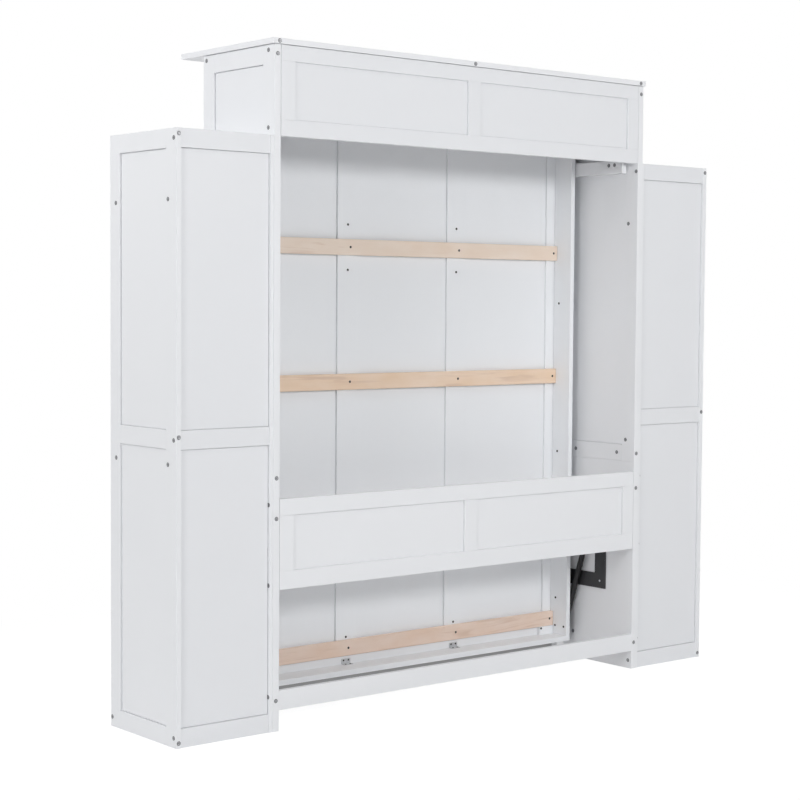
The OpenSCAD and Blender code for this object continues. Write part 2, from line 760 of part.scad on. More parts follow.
// Blocks in the corners at the foot, as thick as the slats and as high as the space under the lowest one
block_low_x = bed_inner_w / 2 - block_w;
module corner_blocks()
    color(white)
        both()
            slab([block_low_x, bed_inner_w / 2], [deck_d - slat_t, deck_d], [foot_top, slat_z(1) - slat_h / 2]);

module buffer_blocks()
    color(white)
        both()
            slab([buffer_x - buffer_w / 2, buffer_x + buffer_w / 2],
                 [rail_rear_d, rail_rear_d + buffer_d], [bed_z - buffer_h, bed_z]);

// Rail screws repeat along the rail, and two hold the strut's stub
rail_screw_end = 165;
rail_screw_d = deck_d - slat_t - rail_screw_gap;
rail_screws = [
    for (i = [0:3]) [rail_screw_d, bed_z + rail_screw_end + i * (bed_len - 2 * rail_screw_end) / 3],
    [pivot_d - bed_plate_w * 0.4, strut_low_z],
    [pivot_d + bed_plate_w * 0.4, strut_low_z]
];

module bed_screws()
    color(black)
        both() {
            for (n = [1:slat_count])
                for (x = [stile_x, outer_fix_x])
                    rear_head(x, deck_d - slat_t, slat_z(n), bed_head);
            for (z = [handle_z - handle_pitch / 2, handle_z + handle_pitch / 2,
                      slat_z(1) + slat_h / 2 + bed_head])
                rear_head(stile_x, deck_d, z, bed_head);
            rear_head(block_low_x + bed_head / 2, deck_d - slat_t, slat_z(1) - slat_h / 2 - bed_head * 0.7, bed_head);
            for (p = rail_screws)
                bar_x([bed_inner_w / 2 - head_h, bed_inner_w / 2], p[0], p[1], bed_head);
        }

// Bar handles on the middle uprights of the bed front
module handles()
    color(black)
        both() {
            translate([stile_x, rear_y - front_d - handle_stand, handle_z - handle_pitch / 2 - handle_over])
                cylinder(d = handle_dia, h = handle_pitch + 2 * handle_over);
            for (z = [handle_z - handle_pitch / 2, handle_z + handle_pitch / 2])
                translate([stile_x, rear_y - front_d, z])
                    rotate([90, 0, 0])
                        cylinder(d = handle_dia * 0.8, h = handle_stand);
        }

// ---- Desk ----

module desk_ledger()
    color(white)
        slab([-ledger_w / 2, ledger_w / 2], [front_d, ledger_front_d],
             [desk_z + knuckle_dia - ledger_h, desk_z + knuckle_dia]);

module desk_top()
    color(white)
        slab([-desk_w / 2, desk_w / 2], [desk_face_d, desk_back_d], [desk_edge_z, desk_edge_z + desk_len]);

// Each knuckle has three barrels: the outer two on the base, the middle one on the leaf
barrel_w = hinge_w / 3;

module knuckle(x, w)
    bar_x([x - w / 2, x + w / 2], desk_axis_d, desk_z, knuckle_dia);

module desk_hinge_bases()
    color(steel)
        for (x = hinge_x) {
            difference() {
                union() {
                    slab([x - hinge_w / 2, x + hinge_w / 2], [ledger_front_d, ledger_front_d + sheet_t],
                         [desk_z - leaf_h, desk_z]);
                    knuckle(x, hinge_w);
                }
                slab([x - barrel_w / 2 - end_play, x + barrel_w / 2 + end_play],
                     [ledger_front_d - cut, desk_axis_d + knuckle_dia],
                     [desk_z - knuckle_dia, desk_z + knuckle_dia]);
            }
            bar_x([x - barrel_w, x + barrel_w], desk_axis_d, desk_z, hinge_pin_dia);
        }

module desk_hinge_leaves()
    color(steel)
        for (x = hinge_x)
            difference() {
                union() {
                    knuckle(x, barrel_w);
                    slab([x - barrel_w / 2, x + barrel_w / 2], [desk_face_d - sheet_t, desk_face_d],
                         [desk_z, desk_edge_z + sheet_t]);
                    slab([x - hinge_w / 2, x + hinge_w / 2], [desk_face_d - sheet_t, desk_face_d],
                         [desk_edge_z, desk_edge_z + leaf_h]);
                }
                bar_x([x - barrel_w, x + barrel_w], desk_axis_d, desk_z, hinge_pin_dia + 2 * fit_clear);
            }

// Magnet blocks that hold the folded desk parallel to the bed front
module desk_catches()
    color(white)
        both()
            slab([stile_x - catch_w / 2, stile_x + catch_w / 2], [front_d, desk_face_d - end_play],
                 [catch_z - catch_w / 2, catch_z + catch_w / 2]);

// ---- Folding legs ----

// Bracket on a face at face_d: base plate, two ears around the leg, and the leg's pin
module leg_bracket(x, face_d, z) {
    ear_in = leg_w / 2 + end_play;
    axis_d = face_d + leg_stand;
    slab([x - ear_in - sheet_t, x + ear_in + sheet_t], [face_d, face_d + sheet_t], [z - leg_t, z + leg_t]);
    for (side = [-1, 1])
        plate_x(x + side * (ear_in + sheet_t / 2) - sheet_t / 2, sheet_t) {
            translate([rear_y - axis_d, z - leg_t / 2])
                square([leg_stand, leg_t]);
            translate([rear_y - axis_d, z])
                circle(d = leg_t);
        }
    bar_x([x - ear_in - sheet_t, x + ear_in + sheet_t], axis_d, z, leg_pin_dia);
}

// Pair of legs hanging from pins at height z, joined by a bar near their feet
module leg_frame(x, d, z, len, bar_z)
    difference() {
        union() {
            both() {
                slab([x - leg_w / 2, x + leg_w / 2], [d - leg_t / 2, d + leg_t / 2], [z - len, z]);
                bar_x([x - leg_w / 2, x + leg_w / 2], d, z, leg_t);
            }
            slab([-x, x], [d - leg_t / 2, d + leg_t / 2], [z - len + bar_z, z - len + bar_z + bar_h]);
        }
        both()
            bar_x([x - leg_w, x + leg_w], d, z, leg_pin_dia + 2 * fit_clear);
    }

module desk_leg_brackets() color(steel) both() leg_bracket(desk_leg_x, desk_back_d, desk_leg_z);
module bed_leg_brackets() color(steel) both() leg_bracket(bed_leg_x, front_d, bed_leg_z);
module desk_leg_frame() color(white) leg_frame(desk_leg_x, desk_leg_d, desk_leg_z, desk_leg_len, desk_bar_z);
module bed_leg_frame() color(white) leg_frame(bed_leg_x, bed_leg_d, bed_leg_z, bed_leg_len, bed_bar_z);

top_board();
left_side_panel();
right_side_panel();
rear_header();
rear_mid_panel();
rear_bottom_rail();
front_fascia();
top_cleats();
left_tower_outer_side();
left_tower_inner_side();
left_tower_back();
left_tower_top();
left_tower_bottom();
left_tower_middle_shelf();
left_tower_upper_shelf();
left_tower_loose_shelves();
right_tower_outer_side();
right_tower_inner_side();
right_tower_back();
right_tower_top();
right_tower_bottom();
right_tower_middle_shelf();
right_tower_upper_shelf();
right_tower_loose_shelves();
shelf_pins();
cabinet_screws();
left_pivot_plate();
right_pivot_plate();
pivot_pins();
plate_screws();
left_strut_rod();
left_strut_tube();
right_strut_rod();
right_strut_tube();
bed_front();
left_side_rail();
right_side_rail();
head_rail();
foot_rail();
slat_1();
slat_2();
slat_3();
slat_4();
slat_5();
left_bed_plate();
right_bed_plate();
corner_brackets();
corner_blocks();
buffer_blocks();
bed_screws();
handles();
desk_ledger();
desk_hinge_bases();
desk_catches();
bed_leg_brackets();
desk_top();
desk_hinge_leaves();
desk_leg_brackets();
desk_leg_frame();
bed_leg_frame();
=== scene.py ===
import json
import math

import bpy
import numpy as np
from mathutils import Matrix, Vector

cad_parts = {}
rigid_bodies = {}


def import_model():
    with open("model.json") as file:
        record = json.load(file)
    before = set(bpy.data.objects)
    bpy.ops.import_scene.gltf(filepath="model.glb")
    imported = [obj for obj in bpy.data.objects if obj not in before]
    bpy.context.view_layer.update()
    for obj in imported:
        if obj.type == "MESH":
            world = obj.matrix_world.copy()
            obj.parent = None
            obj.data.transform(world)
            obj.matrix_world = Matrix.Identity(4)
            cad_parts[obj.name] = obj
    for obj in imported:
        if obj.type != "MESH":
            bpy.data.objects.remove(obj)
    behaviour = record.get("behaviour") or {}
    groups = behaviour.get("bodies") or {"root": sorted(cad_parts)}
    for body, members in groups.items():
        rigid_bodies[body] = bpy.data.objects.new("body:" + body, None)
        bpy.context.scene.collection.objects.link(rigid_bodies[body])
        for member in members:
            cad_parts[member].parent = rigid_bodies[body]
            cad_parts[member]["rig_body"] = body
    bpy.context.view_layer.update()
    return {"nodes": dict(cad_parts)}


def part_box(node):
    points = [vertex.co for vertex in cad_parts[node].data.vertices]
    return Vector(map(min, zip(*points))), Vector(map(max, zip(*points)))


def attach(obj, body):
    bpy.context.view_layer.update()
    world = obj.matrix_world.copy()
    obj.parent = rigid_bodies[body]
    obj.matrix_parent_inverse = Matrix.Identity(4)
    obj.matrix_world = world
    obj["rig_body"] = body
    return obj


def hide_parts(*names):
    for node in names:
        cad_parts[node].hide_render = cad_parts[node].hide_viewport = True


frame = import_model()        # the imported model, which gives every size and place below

cadNodes = frame["nodes"]
print("frame loaded,", len(cadNodes), "parts")


# A shape is its points, its tables of faces with corners counterclockwise from outside, and a tint number
# for each table.

# Skin between rings: quad (i, j) joins points (i, j), (i, j+1), (i+1, j+1) and (i+1, j)
def ringFaces(rings, sides):
    row = np.arange(rings - 1)[:, None] * sides
    column = np.arange(sides)[None, :]
    following = (column + 1) % sides
    corners = (row + column, row + following, row + sides + following, row + sides + column)
    return np.stack(corners, -1).reshape(-1, 4)


# Skin through a grid of points [ring, place on the ring], with a flat cap on the first and the last ring
def closedLoft(points):
    rings, sides = points.shape[:2]
    firstCap = np.arange(sides)[::-1][None]
    lastCap = (rings - 1) * sides + np.arange(sides)[None]
    return points.reshape(-1, 3), [ringFaces(rings, sides), firstCap, lastCap], [0, 0, 0]


# Hollow turned ring: the same grid, with its last ring joined to its first
def loopLoft(points):
    rings, sides = points.shape[:2]
    around = np.concatenate([points, points[:1]])
    faces = ringFaces(rings + 1, sides) % (rings * sides)
    return around[:-1].reshape(-1, 3), [faces], [0]


# Board with rounded edges. At angle t, from 20 to 90 degrees, its section is the inner rectangle grown by
# a·sin(t), and lies a·(cos(20) - cos(t)) from the end, where a is the radius of the edges
def board(low, high, arris=0.0009):
    low, high = np.array(low, float), np.array(high, float)
    run = int(np.argmax(high - low))
    across, up = (run + 1) % 3, (run + 2) % 3
    arris = min(arris, (high - low).min() * 0.45)
    lift = np.radians([20, 55, 90])
    grown = arris * np.sin(lift)
    travel = arris * (math.cos(lift[0]) - np.cos(lift))
    grown = np.concatenate([grown, grown[::-1]])[:, None]
    along = np.concatenate([low[run] + travel, high[run] - travel[::-1]])
    turn = (np.radians([0, 90, 180, 270])[:, None] + np.radians([0, 45, 90])[None]).ravel()
    middle, half = (low + high) / 2, (high - low) / 2 - arris
    points = np.empty((6, 12, 3))
    points[..., across] = middle[across] + half[across] * np.repeat([1, -1, -1, 1], 3) + grown * np.cos(turn)
    points[..., up] = middle[up] + half[up] * np.repeat([1, 1, -1, -1], 3) + grown * np.sin(turn)
    points[..., run] = along[:, None]
    return closedLoft(points)


# A shape with one tint number on all its faces
def tinted(shape, number):
    return shape[0], shape[1], [number] * len(shape[1])


def unit(vector):
    vector = np.array(vector, float)
    return vector / np.linalg.norm(vector)


# Turned shape: the profile point (a, r) at angle t lies at
# origin + a·direction + r·(cos t·first + sin t·second)
def turned(profile, origin, direction, sides=24, hollow=False):
    profile = np.array(profile, float)
    direction = unit(direction)
    first = unit(np.cross(np.eye(3)[np.argmin(np.abs(direction))], direction))
    second = np.cross(direction, first)
    turn = np.linspace(0, 2 * math.pi, sides, endpoint=False)[:, None]
    spokes = np.cos(turn) * first + np.sin(turn) * second
    points = np.array(origin) + profile[:, :1, None] * direction + profile[:, 1:, None] * spokes
    return loopLoft(points) if hollow else closedLoft(points)


# Round bar between two points: the rim at angle t is at radius r - e·(1 - sin t), e·(1 - cos t) from the end
def bar(start, end, radius, rim=0.0006, steps=3, sides=24):
    start, end = np.array(start, float), np.array(end, float)
    length = np.linalg.norm(end - start)
    turn = np.radians(np.linspace(0, 90, steps))
    travel, width = rim * (1 - np.cos(turn)), radius - rim * (1 - np.sin(turn))
    profile = np.concatenate([np.stack([travel, width], 1), np.stack([length - travel, width], 1)[::-1]])
    return turned(profile, start, end - start, sides)


# Outline whose corner c, of radius r, becomes the exact arc
# ((1-t)²·a + 2w·t(1-t)·c + t²·b) / ((1-t)² + 2w·t(1-t) + t²) between its tangent points a and b, where w is
# the cosine of half the turn
def roundedOutline(corners, steps=7):
    corners = np.array(corners, float)
    place, radius = corners[:, :2], corners[:, 2:]
    into, leaving = place - np.roll(place, 1, 0), np.roll(place, -1, 0) - place
    into /= np.linalg.norm(into, axis=1, keepdims=True)
    leaving /= np.linalg.norm(leaving, axis=1, keepdims=True)
    cosine = (into * leaving).sum(1, keepdims=True)
    weight = np.sqrt((1 + cosine) / 2)
    reach = radius * np.sqrt((1 - cosine) / (1 + cosine))
    start, end = (place - into * reach)[:, None], (place + leaving * reach)[:, None]
    t = np.linspace(0, 1, steps)[None, :, None]
    middle = 2 * weight[:, None] * t * (1 - t)
    arcs = ((1 - t) ** 2 * start + middle * place[:, None] + t ** 2 * end) / ((1 - t) ** 2 + middle + t ** 2)
    outline = arcs.reshape(-1, 2)
    return outline[np.linalg.norm(outline - np.roll(outline, 1, 0), axis=1) > 1e-6]


# Plate across an axis: the outline drawn in by the arris at each face, along the mitre of its two edges
def plate(outline, axis, low, high, arris=0.0005):
    edge = np.roll(outline, -1, 0) - outline
    edge /= np.linalg.norm(edge, axis=1, keepdims=True)
    outward = np.stack([edge[:, 1], -edge[:, 0]], 1)
    before = np.roll(outward, 1, 0)
    mitre = (outward + before) / (1 + (outward * before).sum(1, keepdims=True))
    drawnIn = np.array([arris, 0, 0, arris])[:, None, None]
    flat = outline[None] - mitre[None] * drawnIn
    points = np.empty((4, len(outline), 3))
    points[..., (axis + 1) % 3], points[..., (axis + 2) % 3] = flat[..., 0], flat[..., 1]
    points[..., axis] = np.array([low, low + arris, high - arris, high])[:, None]
    return closedLoft(points)


# Plate that fills a box, its broad faces with corners of one radius
def sheet(low, high, corner, arris=0.0005):
    low, high = np.array(low, float), np.array(high, float)
    thin = int(np.argmin(high - low))
    u, v = (thin + 1) % 3, (thin + 2) % 3
    outline = roundedOutline([(low[u], low[v], corner), (high[u], low[v], corner),
                              (high[u], high[v], corner), (low[u], high[v], corner)])
    return plate(outline, thin, low[thin], high[thin], arris)


# The other side's shape: X changes sign, and each face is read backwards so that it still looks outwards
def mirrored(shape):
    points, tables, tints = shape
    return points * [-1, 1, 1], [table[:, ::-1] for table in tables], tints


# Copy of a CAD part in which points within 0.01 mm have become one
def mergedCopy(node):
    mesh = cadNodes[node].data
    points = np.empty(len(mesh.vertices) * 3, np.float32)
    mesh.vertices.foreach_get("co", points)
    corners = np.empty(len(mesh.loops), np.int32)
    mesh.loops.foreach_get("vertex_index", corners)
    points = points.reshape(-1, 3).astype(float)
    _, kept, place = np.unique(np.round(points * 1e5).astype(int), axis=0, return_index=True,
                               return_inverse=True)
    triangles = place.reshape(-1)[corners].reshape(-1, 3)
    flat = (triangles[:, 0] == triangles[:, 1]) | (triangles[:, 1] == triangles[:, 2])
    flat |= triangles[:, 2] == triangles[:, 0]
    return points[kept], [triangles[~flat]], [0]


# Boxes of a part's separate solids: each point takes the lowest number among its neighbours until none
# changes
def solidBoxes(node):
    points, (triangles,), _ = mergedCopy(node)
    label = np.arange(len(points))
    while True:
        lowest = label[triangles].min(1)
        fresh = label.copy()
        np.minimum.at(fresh, triangles.ravel(), np.repeat(lowest, 3))
        fresh = fresh[fresh]
        if (fresh == label).all():
            break
        label = fresh
    return [(points[label == one].min(0), points[label == one].max(0)) for one in np.unique(label)]


def boxOf(node):
    low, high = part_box(node)
    return np.array(low), np.array(high)


# A board in the place of each solid of a part
def boardsOf(node, look):
    return [board(*box, look["arris"]) for box in solidBoxes(node)]


screwLook = {"dish": 0.58, "socket": 0.34, "sides": 24, "inPanel": 0.85}


# Screw heads on flat faces. In units of the head's radius and height, the profile rises over a rounded rim to
# a ring, drops into a dish and then into a six-sided socket, whose radius at angle t is s / cos(t), t taken
# from the middle of the nearest side
def screwHeads(base, axis, sign, radius, height):
    base = np.array(base, float)
    count, sides = len(base), screwLook["sides"]
    axis, sign = np.broadcast_to(axis, count), np.broadcast_to(sign, count)
    dish, socket = screwLook["dish"], screwLook["socket"]
    profile = np.array([(0, 0.97), (0.45, 1), (0.8, 0.94), (1, 0.8), (1, dish + 0.04), (0.8, dish),
                        (0.8, socket), (0.15, socket)])
    turn = np.linspace(0, 2 * math.pi, sides, endpoint=False)
    nearest = (turn + math.pi / 6) % (math.pi / 3) - math.pi / 6
    reach = np.repeat(profile[:, 1:], sides, 1)
    reach[-2:] /= np.cos(nearest)
    local = np.stack([reach * np.cos(turn), reach * np.sin(turn), np.repeat(profile[:, :1], sides, 1)], -1)
    axes = np.eye(3)
    sign = sign[:, None]
    frames = np.stack([axes[(axis + 1) % 3], sign * axes[(axis + 2) % 3], sign * axes[axis]], 1)
    size = np.stack([np.broadcast_to(one, count) for one in (radius, radius, height)], 1)
    points = base[:, None, None] + np.einsum("rsk,hk,hkc->hrsc", local, size, frames)
    each = local.shape[0] * sides
    skin = ringFaces(len(profile), sides)
    caps = [np.arange(sides)[::-1][None], each - sides + np.arange(sides)[None]]
    shift = np.arange(count)[:, None, None] * each
    rim, inner = skin[:4 * sides], skin[4 * sides:6 * sides]
    tables = [rim, inner, skin[6 * sides:], caps[0], caps[1]]
    tables = [(table[None] + shift).reshape(-1, table.shape[1]) for table in tables]
    return points.reshape(-1, 3), tables, [0, 1, 0, 0, 0]


# Heads in the places of a CAD part's discs. A disc across X looks outwards if it is farther out than a plane
# inside the side panel, and else inwards. One across Y looks at the wall
def headsOf(node):
    boxes = solidBoxes(node)
    low, high = np.array([b[0] for b in boxes]), np.array([b[1] for b in boxes])
    axis = np.argmin(high - low, 1)
    middle = (low + high) / 2
    facing = np.where(np.abs(middle[:, 0]) > screwLook["inPanel"], 1, -1) * np.sign(middle[:, 0])
    sign = np.where(axis == 0, facing, 1)
    height = (high - low).min(1)
    base = middle - np.eye(3)[axis] * (sign * height / 2)[:, None]
    return screwHeads(base, axis, sign, (high - low).max(1) / 2, height)


# How much wider than what turns in it a bore is, all round
boreFit = 0.00005
panelFit = {"groove": 0.003, "core": 0.0012, "middle": 0.0016, "lining": 0.0024}


# Frame and panel board. Uprights run the full height, level members and middle uprights stand between them, or
# with "through" the level members run the full width.
# Each field is sunk from one or both faces. Its core reaches into the frame's groove, and its thicker middle
# stops short of the frame, so that a narrow gap runs round it. A face that isn't sunk has a lining level with
# the frame, and the core and the middle lie a little under it
def framedBoard(low, high, look):
    low, high = np.array(low, float), np.array(high, float)
    span = int(np.argmax((high - low)[:2]))
    thin = 1 - span
    stile, rails, arris, groove = look["stile"], look["rails"], look["arris"], panelFit["groove"]
    gap, deep = look["gap"]
    shapes = []

    def member(left, right, bottom, top, sunk=(0, 0)):
        a, b = low.copy(), high.copy()
        a[span], b[span], a[2], b[2] = left, right, bottom, top
        a[thin] += sunk[0]
        b[thin] -= sunk[1]
        shapes.append(board(a, b, arris))

    inner = (low[span] + stile, high[span] - stile)
    through = look.get("through", False)
    bottom, top = (rails[0][1], rails[-1][0]) if through else (low[2], high[2])
    if stile:
        member(low[span], inner[0], bottom, top)
        member(inner[1], high[span], bottom, top)
    ends = (low[span], high[span]) if through else inner
    for bottom, top in rails:
        member(*ends, bottom, top)
    uprights = [(m - look["midWidth"] / 2, m + look["midWidth"] / 2) for m in look.get("mids", [])]
    edges = [inner[0]] + [x for pair in uprights for x in pair] + [inner[1]]
    for (_, bottom), (top, _), sunk in zip(rails, rails[1:], look["sunk"]):
        for left, right in uprights:
            member(left, right, bottom, top)
        core = [one + deep if one else panelFit["core"] for one in sunk]
        middle = [one or panelFit["middle"] for one in sunk]
        lining = [high[thin] - low[thin] - panelFit["lining"] if one else 0 for one in sunk]
        for left, right in zip(edges[::2], edges[1::2]):
            side = groove if stile else 0
            member(left - side, right + side, bottom - groove, top + groove, core)
            member(left + gap, right - gap, bottom + gap, top - gap, middle)
            if not all(sunk):
                member(left, right, bottom, top, lining)
    return shapes


# Inputs of a shader node: values that are sockets are linked, others are set
def fill(tree, node, inputs):
    for socket, value in inputs.items():
        if isinstance(value, bpy.types.NodeSocket):
            tree.links.new(value, node.inputs[socket])
        else:
            node.inputs[socket].default_value = value


def addNode(tree, kind, inputs, **fields):
    node = tree.nodes.new(kind)
    for field, value in fields.items():
        setattr(node, field, value)
    fill(tree, node, inputs)
    return node


# A value carried from one range to another
def remap(tree, value, low, high, toLow=0.0, toHigh=1.0, smooth=False):
    spread = addNode(tree, "ShaderNodeMapRange", {"Value": value, "From Min": low, "From Max": high,
                                                  "To Min": toLow, "To Max": toHigh},
                     interpolation_type="SMOOTHSTEP" if smooth else "LINEAR")
    return spread.outputs["Result"]


def mathOf(tree, operation, *values):
    return addNode(tree, "ShaderNodeMath", dict(enumerate(values)), operation=operation).outputs[0]


def vectorOf(tree, operation, *values):
    return addNode(tree, "ShaderNodeVectorMath", dict(enumerate(values)), operation=operation).outputs[0]


def noise(tree, place, scale, detail, roughness=0.5, distortion=0.0):
    cloud = addNode(tree, "ShaderNodeTexNoise", {"Vector": place, "Scale": scale, "Detail": detail,
                                                 "Roughness": roughness, "Distortion": distortion})
    return cloud.outputs["Fac"]


# The place, stretched along its axes
def stretched(tree, place, scale):
    return addNode(tree, "ShaderNodeMapping", {"Vector": place, "Scale": scale}).outputs[0]


# From one colour to another as a mask goes from 0 to 1. A colour is a socket or three numbers
def blended(tree, mask, first, second):
    first, second = ((*one, 1) if isinstance(one, tuple) else one for one in (first, second))
    mixed = addNode(tree, "ShaderNodeMix", {"Factor": mask, "A": first, "B": second}, data_type="RGBA")
    return mixed.outputs["Result"]


# Group with a position and named values as its inputs, and one result
def newGroup(name, values, result):
    tree = bpy.data.node_groups.new(name, "ShaderNodeTree")
    tree.interface.new_socket("Vector", in_out="INPUT", socket_type="NodeSocketVector")
    for label, value in values.items():
        socket = tree.interface.new_socket(label, in_out="INPUT", socket_type="NodeSocketFloat")
        socket.default_value = value
    tree.interface.new_socket(result, in_out="OUTPUT", socket_type="NodeSocketFloat")
    return tree, tree.nodes.new("NodeGroupInput").outputs, tree.nodes.new("NodeGroupOutput").inputs[0]


# Slow drift of a finish over a board: 0 to 1
def makeMottle():
    tree, given, result = newGroup("surface drift", {"Scale": 3.0}, "Mask")
    cloud = noise(tree, given["Vector"], given["Scale"], 4.0, 0.55)
    tree.links.new(remap(tree, cloud, 0.32, 0.68), result)
    return tree


# Fine relief of a coating: ripples with a little grain on them, as a height from 0 to 1
def makeRelief():
    tree, given, result = newGroup("coating relief", {"Scale": 600.0, "Grain": 0.3}, "Height")
    ripple = noise(tree, given["Vector"], given["Scale"], 1.0)
    grain = noise(tree, given["Vector"], mathOf(tree, "MULTIPLY", given["Scale"], 4.0), 2.0)
    share = mathOf(tree, "MULTIPLY", grain, given["Grain"])
    tree.links.new(mathOf(tree, "ADD", ripple, share), result)
    return tree


# Sparse marks of handling on metal: short streaks that break up the gloss
def makeMarks():
    tree, given, result = newGroup("handling marks", {"Scale": 40.0, "Amount": 0.3}, "Mask")
    streak = noise(tree, stretched(tree, given["Vector"], (1.0, 1.0, 0.16)), given["Scale"], 6.0, 0.7, 0.6)
    sharp = remap(tree, streak, 0.52, 0.72)
    tree.links.new(mathOf(tree, "MULTIPLY", sharp, given["Amount"]), result)
    return tree


mottle, relief, marks = makeMottle(), makeRelief(), makeMarks()


def useGroup(tree, group, place, **values):
    return addNode(tree, "ShaderNodeGroup", {"Vector": place, **values}, node_tree=group).outputs[0]


def startMaterial(name):
    material = bpy.data.materials.new(name)
    material.use_nodes = True
    tree = material.node_tree
    place = tree.nodes.new("ShaderNodeTexCoord").outputs["Object"]
    return material, tree, tree.nodes["Principled BSDF"], place


def bumpOf(tree, height, depth):
    return addNode(tree, "ShaderNodeBump", {"Height": height, "Distance": depth}).outputs["Normal"]


# Coating over sheet or board: two near shades that drift, a roughness that drifts with them, and a fine relief
def coatedMaterial(name, look):
    material, tree, shader, place = startMaterial(name)
    drift = useGroup(tree, mottle, place, Scale=look["drift"])
    worn = useGroup(tree, marks, place, Scale=look["marks"][0], Amount=look["marks"][1])
    rough = mathOf(tree, "ADD", remap(tree, drift, 0.0, 1.0, *look["roughness"]), worn)
    scale, grain, depth = look["relief"]
    height = useGroup(tree, relief, place, Scale=scale, Grain=grain)
    fill(tree, shader, {"Base Color": blended(tree, drift, *look["shades"]), "Roughness": rough,
                        "Normal": bumpOf(tree, height, depth), "Metallic": look["metallic"],
                        "Specular IOR Level": look["specular"]})
    return material


# Marks are their scale and amount, and a relief is its scale, its grain and its depth
satinPaint = {"drift": 2.6, "roughness": (0.36, 0.44), "marks": (30.0, 0.03),
              "relief": (520.0, 0.25, 0.000016), "metallic": 0.0, "specular": 0.35}
screwSteel = {"drift": 160.0, "roughness": (0.38, 0.5), "marks": (300.0, 0.2),
              "relief": (2200.0, 0.5, 0.00001), "metallic": 0.7, "specular": 0.5}
coatings = {
    "satin white paint": {**satinPaint, "shades": ((0.905, 0.914, 0.934), (0.897, 0.907, 0.928))},
    # Painted light: the bed's paint is a lighter copy of the white paint, so the bed's shaded faces show
    # brighter
    "satin bed paint brightened for shade": {**satinPaint, "shades": ((0.922, 0.937, 0.958), (0.914, 0.930, 0.953))},
    # Painted shade: the rear paint is a darker copy of the white paint, to dim the brightly lit rear faces
    "satin rear paint darkened for light": {**satinPaint, "shades": ((0.868, 0.878, 0.900), (0.860, 0.871, 0.894))},
    "black powder coat": {"shades": ((0.030, 0.030, 0.033), (0.038, 0.038, 0.041)), "drift": 14.0,
                          "roughness": (0.42, 0.52), "marks": (60.0, 0.15), "relief": (1400.0, 0.8, 0.00004),
                          "metallic": 0.0, "specular": 0.45},
    "black enamel": {"shades": ((0.010, 0.010, 0.011), (0.014, 0.014, 0.015)), "drift": 20.0,
                     "roughness": (0.30, 0.38), "marks": (60.0, 0.12), "relief": (900.0, 0.3, 0.00001),
                     "metallic": 0.0, "specular": 0.3},
    "zinc plate": {"shades": ((0.66, 0.67, 0.69), (0.54, 0.55, 0.57)), "drift": 70.0,
                   "roughness": (0.30, 0.42), "marks": (120.0, 0.25), "relief": (900.0, 0.5, 0.00001),
                   "metallic": 1.0, "specular": 0.5},
    "chromed rod": {"shades": ((0.78, 0.79, 0.81), (0.74, 0.75, 0.77)), "drift": 30.0,
                    "roughness": (0.08, 0.13), "marks": (90.0, 0.10), "relief": (1500.0, 0.2, 0.000003),
                    "metallic": 1.0, "specular": 0.5},
    "bright screw": {**screwSteel, "shades": ((0.12, 0.123, 0.13), (0.17, 0.173, 0.18)), "metallic": 0.6},
    "dark screw": {**screwSteel, "shades": ((0.050, 0.045, 0.042), (0.080, 0.074, 0.070))},
    "screw dish": {**screwSteel, "shades": ((0.52, 0.525, 0.54), (0.44, 0.445, 0.46)),
                   "roughness": (0.32, 0.44)},
    "white plastic": {"shades": ((0.76, 0.765, 0.775), (0.73, 0.735, 0.75)), "drift": 24.0,
                      "roughness": (0.48, 0.56), "marks": (80.0, 0.08), "relief": (1600.0, 0.9, 0.00003),
                      "metallic": 0.0, "specular": 0.4},
}
coats = {name: coatedMaterial(name, look) for name, look in coatings.items()}

slatLook = {"blotch": (0.45, 11.0), "lines": (0.07, 34.0), "fibre": (0.025, 420.0), "knots": (2.2, 9.0, 9.0),
            "knotEdge": (0.03, 0.085), "streak": (0.70, 0.50, 0.38), "knot": (0.40, 0.25, 0.17),
            "roughness": (0.58, 0.72), "relief": 0.00012, "specular": 0.3}
slatShades = {"rose": ((0.90, 0.735, 0.635), (0.84, 0.63, 0.50)),
              "honey": ((0.93, 0.74, 0.59), (0.87, 0.65, 0.47)),
              "cream": ((0.93, 0.80, 0.69), (0.88, 0.72, 0.59))}


# Planed softwood along X: broad soft blotches, growth lines that wander along the slat, fine fibres, and rare
# small knots. Each of the first three has a stretch along the slat and a scale
def slatMaterial(name, pale, tan, look):
    material, tree, shader, place = startMaterial(name + " slat wood")
    broad, along, fine = (stretched(tree, place, (look[kind][0], 1.0, 1.0))
                          for kind in ("blotch", "lines", "fibre"))
    blotch = useGroup(tree, mottle, broad, Scale=look["blotch"][1])
    wander = noise(tree, along, look["lines"][1], 3.0, 0.6, 0.8)
    lines = remap(tree, wander, 0.52, 0.68, 0.0, 0.6, smooth=True)
    fibre = noise(tree, fine, look["fibre"][1], 5.0)
    spread = remap(tree, mathOf(tree, "MULTIPLY_ADD", fibre, 0.3, blotch), 0.1, 1.2)
    lined = blended(tree, lines, blended(tree, spread, pale, tan), look["streak"])
    cell = addNode(tree, "ShaderNodeTexVoronoi", {"Vector": stretched(tree, place, look["knots"]),
                                                  "Scale": 1.0, "Randomness": 1.0})
    knot = remap(tree, cell.outputs["Distance"], *look["knotEdge"], 0.8, 0.0, smooth=True)
    fill(tree, shader, {"Base Color": blended(tree, knot, lined, look["knot"]),
                        "Roughness": remap(tree, spread, 0.0, 1.0, *look["roughness"]),
                        "Normal": bumpOf(tree, fibre, look["relief"]), "Specular IOR Level": look["specular"]})
    return material


coats.update({name: slatMaterial(name, *pair, slatLook) for name, pair in slatShades.items()})

